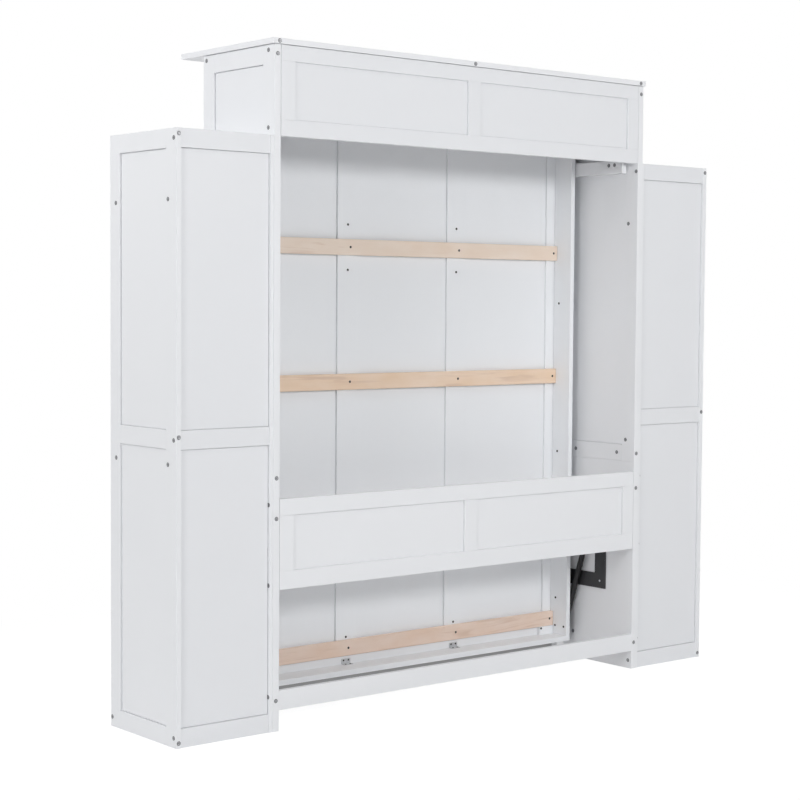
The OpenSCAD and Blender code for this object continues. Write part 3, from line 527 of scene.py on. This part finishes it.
# What a piece is made of: the record's material slot, and the materials its tint numbers stand for
finishes = {
    "paint": ("white_board", "satin white paint"),
    # Painted light and painted shade: the bed's paint and the rear paint are lighter and darker copies of one
    # white
    "bedPaint": ("white_board", "satin bed paint brightened for shade"),
    "rearPaint": ("white_board", "satin rear paint darkened for light"),
    **{name: ("slat_wood", name) for name in slatShades},
    "black": ("black_steel", "black powder coat", "zinc plate"),
    "tube": ("black_steel", "black enamel", "zinc plate"),
    "rod": ("rod_chrome", "chromed rod", "zinc plate"),
    "zinc": ("zinc_steel", "zinc plate", "dark screw"),
    "oiled": ("zinc_steel", "black enamel", "zinc plate"),
    "screw": ("screw_steel", "bright screw", "screw dish"),
    "bedScrew": ("screw_steel", "dark screw"),
    "plastic": ("catch_plastic", "white plastic", "zinc plate"),
}
print("materials made,", len(coats))


def newObject(name, data):
    made = bpy.data.objects.new(name, data)
    bpy.context.scene.collection.objects.link(made)
    return made


# One piece from its shapes. It takes the place of its CAD part, whose name it has in camel case unless another
# is given, and rides on its body
def addPiece(node, finish, shapes, bevel=0.0, name=None):
    first, *others = node.split("_")
    name = name or first + "".join(word.capitalize() for word in others)
    slotName, *materials = finishes[finish]
    points, corners, counts, tints, base = [], [], [], [], 0
    for grid, tables, tint in shapes:
        points.append(grid)
        for table, number in zip(tables, tint):
            corners.append((table + base).ravel())
            counts.append(np.full(len(table), table.shape[1]))
            tints.append(np.full(len(table), number))
        base += len(grid)
    corners, counts, tints = (np.concatenate(part).astype(np.int32) for part in (corners, counts, tints))
    mesh = bpy.data.meshes.new(name)
    mesh.vertices.add(base)
    mesh.vertices.foreach_set("co", np.concatenate(points).astype(np.float32).ravel())
    mesh.loops.add(len(corners))
    mesh.loops.foreach_set("vertex_index", corners)
    mesh.polygons.add(len(counts))
    mesh.polygons.foreach_set("loop_start", (np.cumsum(counts) - counts).astype(np.int32))
    mesh.polygons.foreach_set("material_index", tints)
    mesh.polygons.foreach_set("use_smooth", np.ones(len(counts), bool))
    mesh.update(calc_edges=True)
    mesh.validate()
    mesh.set_sharp_from_angle(angle=math.radians(50))
    for material in materials[:int(tints.max()) + 1]:
        mesh.materials.append(coats[material])
    piece = newObject(name, mesh)
    if bevel:
        softened = piece.modifiers.new("softened edges", "BEVEL")
        softened.width, softened.segments = bevel, 2
        softened.limit_method, softened.angle_limit = "ANGLE", math.radians(40)
    evened = piece.modifiers.new("even shading", "WEIGHTED_NORMAL")
    evened.keep_sharp = True
    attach(piece, cadNodes[node]["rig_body"])
    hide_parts(node)


# Shapes of one side with their mirror images, or only the side that is asked for
def bothSides(shapes):
    return shapes + [mirrored(shape) for shape in shapes]


def onSide(shapes, side):
    return shapes if side == "right" else [mirrored(shape) for shape in shapes]


sides = ("left", "right")

# Cabinet carcass
addPiece("top_board", "paint", [mergedCopy("top_board")], bevel=0.0012)

sidePanel = {"stile": 0.064, "rails": ((0.798, 0.860), (2.160, 2.2205)), "sunk": ((0.006, 0.006),),
             "seam": 0.002, "strip": (0.02, 0.01, 0.0005), "arris": 0.0009, "gap": (0.0016, 0.004)}


# The part under the seam is one flat board. Behind the seam lies a strip that is set back from the face, and
# reaches below and above the seam
def sidePanelShapes(low, high, look):
    split = look["rails"][0][0]
    below, above, arris = look["strip"]
    shapes = [board(low, (high[0], high[1], split - look["seam"]), look["arris"])]
    shapes.append(board((low[0] + look["seam"], low[1] + look["stile"], split - below),
                        (high[0] - look["seam"], high[1] - look["stile"], split + above), arris))
    return shapes + framedBoard((low[0], low[1], split - look["seam"]), high, look)


for side in sides:
    low, high = boxOf(side + "_side_panel")
    high[2] = sidePanel["rails"][1][1]
    addPiece(side + "_side_panel", "paint", sidePanelShapes(low, high, sidePanel))

rearHeader = {"stile": 0.056, "rails": ((1.930, 1.982), (2.170, 2.2205)), "sunk": ((0.006, 0.006),),
              "mids": (0.0,), "midWidth": 0.056, "through": True, "arris": 0.0009, "gap": (0.0024, 0.002)}
rearMiddle = {**rearHeader, "rails": ((0.464, 0.524), (0.706, 0.760))}
# The rear panels stop just short of the side panels, and the header of the top board
joint = {"ends": 0.0012, "top": 0.0015}
low, high = boxOf("rear_header")
# The header takes the darker copy of the white paint, as painted shade on its brightly lit rear face
addPiece("rear_header", "rearPaint",
         framedBoard(low + [joint["ends"], 0, 0], high - [joint["ends"], 0, joint["top"]], rearHeader))
low, high = boxOf("rear_mid_panel")
addPiece("rear_mid_panel", "paint",
         framedBoard(low + [joint["ends"], 0, 0], high - [joint["ends"], 0, 0], rearMiddle),
         name="rearMiddlePanel")

plainBoard = {"arris": 0.0012}
for node in ("rear_bottom_rail", "front_fascia", "desk_ledger"):
    addPiece(node, "paint", boardsOf(node, plainBoard))
# The bed's rails take the lighter copy of the white paint, as painted light on their shaded faces
for node in ("head_rail", "foot_rail", "left_side_rail", "right_side_rail"):
    addPiece(node, "bedPaint", boardsOf(node, plainBoard))

cleat = {"face": 0.824, "start": 0.2045, "lap": 0.01, "arris": 0.003}


# A cleat fills the sunk field of its side panel, and its thicker part laps over the rear upright
def cleatShapes(low, high, look):
    return [board(low, (look["face"], high[1], high[2]), look["arris"]),
            board((look["face"] - look["lap"], low[1], low[2]), (high[0], look["start"], high[2]),
                  look["arris"])]


low, high = next(box for box in solidBoxes("top_cleats") if box[0][0] > 0)
addPiece("top_cleats", "paint", bothSides(cleatShapes(low, high, cleat)))

# Shelf towers
towerSide = {"stile": 0.060, "rails": ((0.0, 0.060), (0.937, 0.997), (1.872, 1.932)), "arris": 0.0009,
             "gap": (0.0018, 0.004)}
towerBack = {**towerSide, "stile": 0.0, "sunk": ((0.0, 0.006), (0.0, 0.006)), "inset": 0.003}
for side in sides:
    outer = (0.0, 0.006) if side == "right" else (0.006, 0.0)
    low, high = boxOf(side + "_tower_outer_side")
    addPiece(side + "_tower_outer_side", "paint",
             framedBoard(low, high, {**towerSide, "sunk": (outer, outer)}))
    # The tower backs take the darker copy of the white paint, as painted shade on their brightly lit rear
    # faces
    low, high = boxOf(side + "_tower_back")
    addPiece(side + "_tower_back", "rearPaint",
             framedBoard(low, high - [0, towerBack["inset"], 0], towerBack))
    for part in ("inner_side", "top", "bottom", "middle_shelf", "upper_shelf", "loose_shelves"):
        node = side + "_tower_" + part
        addPiece(node, "paint", boardsOf(node, plainBoard))

shelfPin = {"rim": 0.0008, "sides": 16}
pinShapes = []
for low, high in solidBoxes("shelf_pins"):
    middle = (low + high) / 2
    pinShapes.append(bar((low[0], *middle[1:]), (high[0], *middle[1:]), (high[2] - low[2]) / 2,
                         shelfPin["rim"], sides=shelfPin["sides"]))
addPiece("shelf_pins", "zinc", pinShapes)
addPiece("cabinet_screws", "screw", [headsOf("cabinet_screws")])
print("cabinet made")

# Pivots and gas struts, worked out on the right, in the gap beside the bed
pivot = {"y": -0.0675, "z": 0.320, "face": 0.824, "bed": 0.790, "plate": 0.004, "legWidth": 0.058,
         "rear": 0.1285, "top": 0.715, "corner": 0.003, "pin": 0.008, "flange": 0.017, "flangeThick": 0.003,
         "boss": 0.014, "play": 0.0003, "bedWidth": 0.060, "bedLow": 0.094, "bedTop": 0.520, "arris": 0.0006,
         "bolts": (0.470, 0.395, 0.215), "boltSide": 0.018, "boltHead": (0.0055, 0.0022)}
strut = {"x": 0.807, "top": (0.1105, 0.690), "low": (-0.0755, 0.124), "tube": 0.011, "wall": 0.002,
         "tubeLength": 0.310, "guide": 0.014, "endThick": 0.008, "rod": 0.005, "eye": 0.010,
         "eyeWidth": 0.012, "reach": 0.025, "neck": 0.007, "stud": 0.004, "pistonGap": 0.0024, "piston": 0.010,
         "swell": ((0.0085, 0.0048), (0.010, 0.0056), (0.013, 0.0058)),
         "roll": ((0.008, 0.0), (0.0092, 0.0008), (0.0108, 0.0008), (0.012, 0.0))}


def pivotPlateShapes(look, rod):
    half, corner = look["legWidth"] / 2, look["corner"]
    inner = look["rear"] - look["legWidth"]
    front, low, high = look["y"] - half, look["z"] - half, look["z"] + half
    outline = roundedOutline([(front, low, half), (look["rear"], low, corner),
                              (look["rear"], look["top"], corner), (inner, look["top"], corner),
                              (inner, high, corner), (front, high, half)], 9)
    eyeHalf = rod["eyeWidth"] / 2 + look["play"]
    y, z = rod["top"]
    return [plate(outline, 0, look["face"], look["face"] + look["plate"], look["arris"]),
            bar((rod["x"] + eyeHalf, y, z), (look["face"] + 0.001, y, z), rod["neck"]),
            bar((rod["x"] - eyeHalf - 0.001, y, z), (look["face"] + 0.001, y, z), rod["stud"]),
            bar((rod["x"] - eyeHalf - 0.002, y, z), (rod["x"] - eyeHalf, y, z), rod["neck"], 0.0009)]


# Hollow ring about X between x0 and x1: the outer wall is walked towards +X and the bore back
def ring(x0, x1, y, z, radius, bore, rim=0.0008):
    width = x1 - x0
    profile = [(0, radius - rim), (rim, radius), (width - rim, radius), (width, radius - rim),
               (width, bore + rim / 2), (width - rim / 2, bore), (rim / 2, bore), (0, bore + rim / 2)]
    return turned(profile, (x0, y, z), (1, 0, 0), 32, hollow=True)


def bedPlateShapes(look, rod):
    half = look["bedWidth"] / 2
    front, back, corner = look["y"] - half, look["y"] + half, look["plate"]
    outline = roundedOutline([(front, look["bedLow"], corner), (back, look["bedLow"], corner),
                              (back, look["bedTop"], half), (front, look["bedTop"], half)], 11)
    bossEnd = look["face"] - look["flangeThick"] - look["play"]
    eyeSide = rod["x"] - rod["eyeWidth"] / 2 - look["play"]
    y, z = rod["low"]
    face = look["bed"] + look["plate"]
    bolts = [(face, look["y"] + dy, height) for height in look["bolts"]
             for dy in (-look["boltSide"], look["boltSide"])]
    return [plate(outline, 0, look["bed"], face, look["arris"]),
            ring(face - 0.001, bossEnd, look["y"], look["z"], look["boss"], look["pin"] + boreFit),
            bar((look["bed"] + 0.002, y, z), (eyeSide, y, z), 2 * rod["stud"], 0.0008),
            tinted(screwHeads(bolts, 0, 1, *look["boltHead"]), 1)]


# Flanged pin, walked from its nose to the back of its flange
def pivotPinShape(look):
    start = look["bed"] + look["play"]
    length, flange = look["face"] - start, look["face"] - start - look["flangeThick"]
    profile = [(0, look["pin"] - 0.0015), (0.0015, look["pin"]), (flange, look["pin"]),
               (flange, look["flange"] - 0.0006), (flange + 0.0006, look["flange"]), (length, look["flange"])]
    return turned(profile, (start, look["y"], look["z"]), (1, 0, 0), 36)


strutPath = np.array((0, strut["low"][0] - strut["top"][0], strut["low"][1] - strut["top"][1]))
strutLength = float(np.linalg.norm(strutPath))
strutWay = strutPath / strutLength
strutTop = np.array((strut["x"], *strut["top"]))


# Eye: a ring across the strut with a neck that swells from it, along the strut from s to s + reach
def eyeShapes(s, way, look):
    centre = strutTop + strutWay * s
    half = look["eyeWidth"] / 2
    eye = ring(look["x"] - half, look["x"] + half, *centre[1:], look["eye"], look["stud"] + boreFit, 0.001)
    neck = [*look["swell"], (0.016, look["neck"] - 0.0006), (0.017, look["neck"]),
            (look["reach"] - 0.001, look["neck"]), (look["reach"], look["neck"] - 0.0006)]
    return [eye, turned(neck, centre, strutWay * way, 24)]


def strutRodShapes(look):
    mouth = strutLength - look["reach"] - look["tubeLength"]
    end = mouth + look["guide"] + look["pistonGap"] + look["piston"]
    wide = look["tube"] - look["wall"] - boreFit
    profile = [(look["reach"] - 0.002, look["rod"] - 0.0006), (look["reach"] - 0.001, look["rod"]),
               (end - look["piston"], look["rod"]), (end - look["piston"], wide - 0.0005),
               (end - look["piston"] + 0.0005, wide), (end - 0.0005, wide), (end, wide - 0.0005)]
    return eyeShapes(0, 1, look) + [turned(profile, strutTop, strutWay, 32)]


# Tube, walked from the floor of its bore out through the mouth and along the outside, with a rolled groove
# near each end
def strutTubeShapes(look):
    mouth = strutLength - look["reach"] - look["tubeLength"]
    end = mouth + look["tubeLength"]
    outer, bore, hole = look["tube"], look["tube"] - look["wall"], look["rod"] + boreFit
    floor, guide = end - look["endThick"], mouth + look["guide"]
    profile = [(floor, 0.0004), (floor, bore), (guide, bore), (guide, hole), (mouth + 0.0006, hole),
               (mouth, hole + 0.0008),
               (mouth, outer - 0.0030), (mouth + 0.0009, outer - 0.0012), (mouth + 0.003, outer - 0.0001),
               *[(mouth + s, outer - dip) for s, dip in look["roll"]],
               *[(end - s, outer - dip) for s, dip in look["roll"][::-1]], (end - 0.003, outer - 0.0003),
               (end - 0.0008, outer - 0.0018), (end, outer - 0.004), (end, 0.0004)]
    half = look["eyeWidth"] / 2
    y, z = look["low"]
    bolt = bar((look["x"] - half - 0.0001, y, z), (look["x"] + half, y, z), look["stud"])
    return eyeShapes(strutLength, -1, look) + [turned(profile, strutTop, strutWay, 40), tinted(bolt, 1)]


for side in sides:
    addPiece(side + "_pivot_plate", "black", onSide(pivotPlateShapes(pivot, strut), side))
    addPiece(side + "_bed_plate", "black", onSide(bedPlateShapes(pivot, strut), side))
    addPiece(side + "_strut_rod", "rod", onSide(strutRodShapes(strut), side))
    addPiece(side + "_strut_tube", "tube", onSide(strutTubeShapes(strut), side))
addPiece("pivot_pins", "oiled", bothSides([pivotPinShape(pivot)]))
heads = headsOf("plate_screws")
addPiece("plate_screws", "oiled", [(heads[0], heads[1], [0, 1, 1, 0, 1])])
print("pivots and struts made")

# Bed
bedFront = {"stile": 0.096, "rails": ((0.070, 0.150), (2.067, 2.147)), "sunk": ((0.0065, 0.0065),),
            "mids": (-0.257, 0.257), "midWidth": 0.090, "arris": 0.0009, "gap": (0.0030, 0.0018)}
# The bed front takes the lighter copy of the white paint, as painted light on its shaded faces
addPiece("bed_front", "bedPaint", framedBoard(*boxOf("bed_front"), bedFront))

slatBoard = {"arris": 0.0022, "woods": ("rose", "rose", "honey", "cream", "rose")}
for number, wood in enumerate(slatBoard["woods"], 1):
    node = "slat_%d" % number
    addPiece(node, wood, [board(*boxOf(node), slatBoard["arris"])])
addPiece("bed_screws", "bedScrew", [tinted(headsOf("bed_screws"), 0)])

angle = {"sheet": 0.002, "bend": 0.0028, "screw": (0.0036, 0.0012), "fromEnd": 0.009, "fromTip": 0.006}


# Bent steel angle: an L outline with a rounded bend, carried along X
def angleShapes(low, high, look):
    t, tiny = look["sheet"], 0.0004
    outline = roundedOutline([(low[1], low[2], look["bend"]), (high[1], low[2], tiny),
                              (high[1], low[2] + t, tiny), (low[1] + t, low[2] + t, look["bend"] - t),
                              (low[1] + t, high[2], tiny), (low[1], high[2], tiny)], 5)
    ends = (low[0] + look["fromEnd"], high[0] - look["fromEnd"])
    upright = screwHeads([(x, low[1] + t, high[2] - look["fromTip"]) for x in ends], 1, 1, *look["screw"])
    level = screwHeads([(x, high[1] - look["fromTip"], low[2] + t) for x in ends], 2, 1, *look["screw"])
    return [plate(outline, 0, low[0], high[0], 0.0003), tinted(upright, 1), tinted(level, 1)]


angles = [shape for low, high in solidBoxes("corner_brackets") for shape in angleShapes(low, high, angle)]
addPiece("corner_brackets", "zinc", angles, name="cornerAngles")

cornerBlock = {"arris": 0.0012}
# The corner blocks take the lighter copy of the white paint, as painted light on their shaded faces
addPiece("corner_blocks", "bedPaint", boardsOf("corner_blocks", cornerBlock))

bufferBlock = {"arris": 0.003}
addPiece("buffer_blocks", "plastic", boardsOf("buffer_blocks", bufferBlock))

handle = {"x": 0.257, "z": 1.5955, "pitch": 0.162, "over": 0.014, "radius": 0.006, "face": -0.1365,
          "stand": 0.030, "post": 0.0048, "foot": 0.0085, "flare": (0.0015, 0.008), "dome": 0.55}


# Bar with domed ends on two posts. A post's radius falls from its foot's to its own as a quarter wave
def handleShapes(look):
    y = look["face"] - look["stand"]
    half, over = look["pitch"] / 2, look["over"]
    shapes = [bar((look["x"], y, look["z"] - half - over), (look["x"], y, look["z"] + half + over),
                  look["radius"], look["radius"] * look["dome"], 5, 28)]
    t = np.linspace(0, 1, 7)
    width = look["post"] + (look["foot"] - look["post"]) * (1 - np.sin(t * math.pi / 2))
    start, length = look["flare"]
    along = np.concatenate([[0], start + t * length, [look["stand"]]])
    profile = np.stack([along, np.concatenate([[look["foot"]], width, [look["post"]]])], 1)
    for z in (look["z"] - half, look["z"] + half):
        shapes.append(turned(profile, (look["x"], look["face"], z), (0, -1, 0), 24))
    return shapes


addPiece("handles", "black", bothSides(handleShapes(handle)))
print("bed made")

# Desk
deskBoard = {"arris": 0.0025}
addPiece("desk_top", "paint", [board(*boxOf("desk_top"), deskBoard["arris"])])

hinge = {"places": (-0.620, -0.257, 0.257, 0.620), "y": -0.153, "z": 0.742, "width": 0.070, "leaf": 0.040,
         "sheet": 0.002, "knuckle": 0.0045, "pin": 0.002, "gap": 0.0003, "base": -0.1485, "board": -0.154,
         "edge": 0.7471, "screw": (0.0034, 0.0007), "screws": (-0.024, 0.0, 0.024), "screwAt": 0.026,
         "corner": (0.003, 0.0004), "tongue": (0.0026, 0.002)}


# Hinge base: a leaf with rounded corners under two knuckles and the pin between them
def hingeBaseShapes(look):
    shapes = []
    half, third = look["width"] / 2, look["width"] / 3
    for x in look["places"]:
        front = look["base"] - look["sheet"]
        shapes.append(sheet((x - half, front, look["z"] - look["leaf"]),
                            (x + half, look["base"], look["z"] - 0.001), *look["corner"]))
        for start, end, radius, rim in (
                (x - half, x - third / 2 - look["gap"], look["knuckle"], 0.0005),
                (x + third / 2 + look["gap"], x + half, look["knuckle"], 0.0005),
                (x - third, x + third, look["pin"], 0.0003)):
            shapes.append(bar((start, look["y"], look["z"]), (end, look["y"], look["z"]), radius, rim))
        heads = [(x + dx, front, look["z"] - look["screwAt"]) for dx in look["screws"]]
        shapes.append(tinted(screwHeads(heads, 1, -1, *look["screw"]), 1))
    return shapes


# Hinge leaf on the desk board, with a tongue down to the middle knuckle, which is bored for the pin
def hingeLeafShapes(look):
    shapes = []
    half, third = look["width"] / 2, look["width"] / 3
    for x in look["places"]:
        rear = look["board"] + look["sheet"]
        shapes.append(sheet((x - half, look["board"], look["edge"]),
                            (x + half, rear, look["edge"] + look["leaf"]), *look["corner"]))
        shapes.append(sheet((x - third / 2, look["board"], look["z"] + look["tongue"][0]),
                            (x + third / 2, rear, look["edge"] + look["tongue"][1]), 0.0002, 0.0001))
        shapes.append(ring(x - third / 2, x + third / 2, look["y"], look["z"], look["knuckle"],
                           look["pin"] + boreFit, 0.0005))
        heads = [(x + dx, rear, look["edge"] + look["screwAt"]) for dx in look["screws"]]
        shapes.append(tinted(screwHeads(heads, 1, 1, *look["screw"]), 1))
    return shapes


addPiece("desk_hinge_bases", "zinc", hingeBaseShapes(hinge))
addPiece("desk_hinge_leaves", "zinc", hingeLeafShapes(hinge))

catch = {"corner": 0.006, "arris": 0.0018, "short": 0.0008, "pole": (0.003, 0.002, 0.032), "apart": 0.014}


# Magnet block: a housing with rounded corners, and two steel pole strips that stand just proud of it
def catchShapes(low, high, look):
    shapes = [sheet((low[0], low[1] + look["short"], low[2]), high, look["corner"], look["arris"])]
    x, z = (low[0] + high[0]) / 2, (low[2] + high[2]) / 2
    width, deep, tall = look["pole"]
    for dx in (-look["apart"] / 2, look["apart"] / 2):
        strip = sheet((x + dx - width / 2, low[1], z - tall / 2),
                      (x + dx + width / 2, low[1] + deep, z + tall / 2), 0.0004, 0.0002)
        shapes.append(tinted(strip, 1))
    return shapes


catches = [shape for low, high in solidBoxes("desk_catches") for shape in catchShapes(low, high, catch)]
addPiece("desk_catches", "plastic", catches)

bracket = {"ear": 0.0303, "sheet": 0.002, "stand": 0.016, "half": 0.011, "base": 0.022, "pin": 0.004,
           "corner": (0.004, 0.0004), "screw": (0.0034, 0.0008), "screwAt": (0.02, 0.0165)}
bracketPlaces = {"desk": (0.640, -0.172, 1.182), "bed": (0.774, -0.1365, 2.010)}


# Bracket on a face at y: base with rounded corners, two ears with round ends, and the pin through them
def bracketShapes(place, look):
    x, face, z = place
    reach, t = look["ear"] + look["sheet"], look["sheet"]
    axis = face - look["stand"]
    half, base = look["half"], look["base"]
    shapes = [sheet((x - reach, face - t, z - base), (x + reach, face, z + base), *look["corner"])]
    outline = roundedOutline([(axis - half, z - half, half * 0.999), (face - t / 2, z - half, 0.0003),
                              (face - t / 2, z + half, 0.0003), (axis - half, z + half, half * 0.999)], 9)
    for side in (-1, 1):
        middle = x + side * (look["ear"] + t / 2)
        shapes.append(plate(outline, 0, middle - t / 2, middle + t / 2, 0.0003))
    shapes.append(bar((x - reach, axis, z), (x + reach, axis, z), look["pin"], 0.0004))
    across, up = look["screwAt"]
    spots = [(x + dx, face - t, z + dz) for dx in (-across, across) for dz in (-up, up)]
    return shapes + [tinted(screwHeads(spots, 1, -1, *look["screw"]), 1)]


for owner, place in bracketPlaces.items():
    addPiece(owner + "_leg_brackets", "zinc", bothSides(bracketShapes(place, bracket)))
    addPiece(owner + "_leg_frame", "paint", [mergedCopy(owner + "_leg_frame")], bevel=0.0015)
print("desk and legs made")

# Camera, from the edges of the cabinet in the photograph
view = {"place": (4.2037, 5.0112, 1.4005), "azimuth": 140.74, "down": 3.11, "roll": 0.40, "lens": 81.08,
        "sensor": 36.0}
camera = newObject("camera", bpy.data.cameras.new("camera"))
camera.data.lens, camera.data.sensor_width = view["lens"], view["sensor"]
camera.data.clip_end = 100.0
aim = Matrix.Rotation(math.radians(view["azimuth"]), 4, "Z")
aim = aim @ Matrix.Rotation(math.radians(90 - view["down"]), 4, "X")
aim = aim @ Matrix.Rotation(math.radians(view["roll"]), 4, "Z")
camera.matrix_world = Matrix.Translation(Vector(view["place"])) @ aim
bpy.context.scene.camera = camera

# A patch of floor in front of the bed is a painted shadow. Its middle, its half sides, its soft edge and its
# dimmed shade are set here
studio = {"floorRadius": 30.0, "floorShade": 0.9, "gain": 2.2, "dim": 0.38, "near": 0.15, "reach": 1.8,
          "aim": (0.0, 0.0, 1.1),
          "half": (1.21, 0.27), "bedAt": (-0.20, -0.29, 0.0), "bedHalf": (0.84, 0.15), "bedFade": 0.22,
          "skyLevel": 0.25, "skyTint": (0.975, 0.985, 1.0),
          "lamps": (("rear", 189, 15, 6.5, 1.2, 122.0), ("side", 110, 10, 9.0, 2.2, 150.0),
                    ("front side", 75, 38, 5.0, 2.0, 47.0), ("high", 150, 60, 10.0, 5.0, 156.0),
                    ("front", 340, 20, 6.5, 3.0, 105.0))}


# Rays that should see the white studio: camera, glossy and transmission rays
def whiteRays(tree):
    path = tree.nodes.new("ShaderNodeLightPath").outputs
    first = mathOf(tree, "MAXIMUM", path["Is Camera Ray"], path["Is Glossy Ray"])
    return mathOf(tree, "MAXIMUM", first, path["Is Transmission Ray"])


# Distance on the floor from a rectangle with half sides a and b: the larger of |x| - a and |y| - b
def fromRectangle(tree, place, middle, half):
    folded = vectorOf(tree, "ABSOLUTE", vectorOf(tree, "SUBTRACT", place, middle))
    outside = vectorOf(tree, "SUBTRACT", folded, (*half, 0.0))
    parts = addNode(tree, "ShaderNodeSeparateXYZ", {0: outside}).outputs
    return mathOf(tree, "MAXIMUM", parts[0], parts[1])


# The floor is pale to light the object from below. To camera, glossy and transmission rays it is white, with
# the object's shadow on it, which fades with the distance from the object's foot. A patch in front of the
# bed's
# lower edge is a painted shadow: its colour is dimmed, with a soft edge, where the camera sees it through the
# slot over the low rail
def floorMaterial(look):
    material = bpy.data.materials.new("studio floor")
    material.use_nodes = True
    tree = material.node_tree
    tree.nodes.clear()
    place = tree.nodes.new("ShaderNodeTexCoord").outputs["Object"]
    away = fromRectangle(tree, place, (0.0, 0.0, 0.0), look["half"])
    wide = remap(tree, away, 0.0, look["reach"], look["near"], 0.0, smooth=True)
    # Painted shadow: the patch in front of the bed, where the floor's colour is dimmed
    fromPaintedShadow = fromRectangle(tree, place, look["bedAt"], look["bedHalf"])
    slot = remap(tree, fromPaintedShadow, 0.0, look["bedFade"], 1.0, 0.0, smooth=True)
    fade = mathOf(tree, "MAXIMUM", wide, slot)
    lift = remap(tree, slot, 0.0, 1.0, look["gain"], look["dim"])
    lifted = addNode(tree, "ShaderNodeCombineXYZ", {axis: lift for axis in range(3)})
    pale = addNode(tree, "ShaderNodeBsdfDiffuse", {"Color": (look["floorShade"],) * 3 + (1,)})
    shaded = addNode(tree, "ShaderNodeBsdfDiffuse", {"Color": lifted.outputs[0]})
    white = addNode(tree, "ShaderNodeEmission", {"Color": (1, 1, 1, 1), "Strength": 1.0})
    seen = addNode(tree, "ShaderNodeMixShader", {0: fade, 1: white.outputs[0], 2: shaded.outputs[0]})
    whole = addNode(tree, "ShaderNodeMixShader", {0: whiteRays(tree), 1: pale.outputs[0], 2: seen.outputs[0]})
    addNode(tree, "ShaderNodeOutputMaterial", {"Surface": whole.outputs[0]})
    return material


# Floor disc: rings of points at radius R·s, s growing as the square of the ring's number
def floorMesh(radius, rings=24, around=48):
    reach = np.linspace(0.02, 1, rings)[:, None] ** 2 * radius
    turn = np.linspace(0, 2 * math.pi, around, endpoint=False)[None]
    points = np.stack([reach * np.cos(turn), reach * np.sin(turn), np.zeros((rings, around))], -1)
    mesh = bpy.data.meshes.new("studio floor")
    faces = ringFaces(rings, around)[:, ::-1].tolist() + [list(range(around))]
    mesh.from_pydata(points.reshape(-1, 3).tolist(), [], faces)
    mesh.update()
    return mesh


floor = newObject("studioFloor", floorMesh(studio["floorRadius"]))
floor.data.materials.append(floorMaterial(studio))

world = bpy.data.worlds.new("studio")
bpy.context.scene.world = world
world.use_nodes = True
sky = world.node_tree
sky.nodes.clear()
soft = addNode(sky, "ShaderNodeBackground", {"Color": (*studio["skyTint"], 1),
                                             "Strength": studio["skyLevel"]})
clear = addNode(sky, "ShaderNodeBackground", {"Color": (1, 1, 1, 1), "Strength": 1.0})
chosen = addNode(sky, "ShaderNodeMixShader", {0: whiteRays(sky), 1: soft.outputs[0], 2: clear.outputs[0]})
addNode(sky, "ShaderNodeOutputWorld", {"Surface": chosen.outputs[0]})


# Round soft lamps, each at an azimuth, an elevation and a distance from the point at which they are aimed,
# with a size and a power
for name, around, lift, away, size, power in studio["lamps"]:
    lamp = bpy.data.lights.new(name, "AREA")
    lamp.shape, lamp.size, lamp.energy = "DISK", size, power
    around, lift = math.radians(around), math.radians(lift)
    offset = Vector((math.cos(lift) * math.sin(around), -math.cos(lift) * math.cos(around), math.sin(lift)))
    holder = newObject(name, lamp)
    holder.location = Vector(studio["aim"]) + offset * away
    holder.rotation_euler = (-offset).to_track_quat("-Z", "Y").to_euler()

bpy.context.scene.view_settings.view_transform = "Standard"
print("studio made")
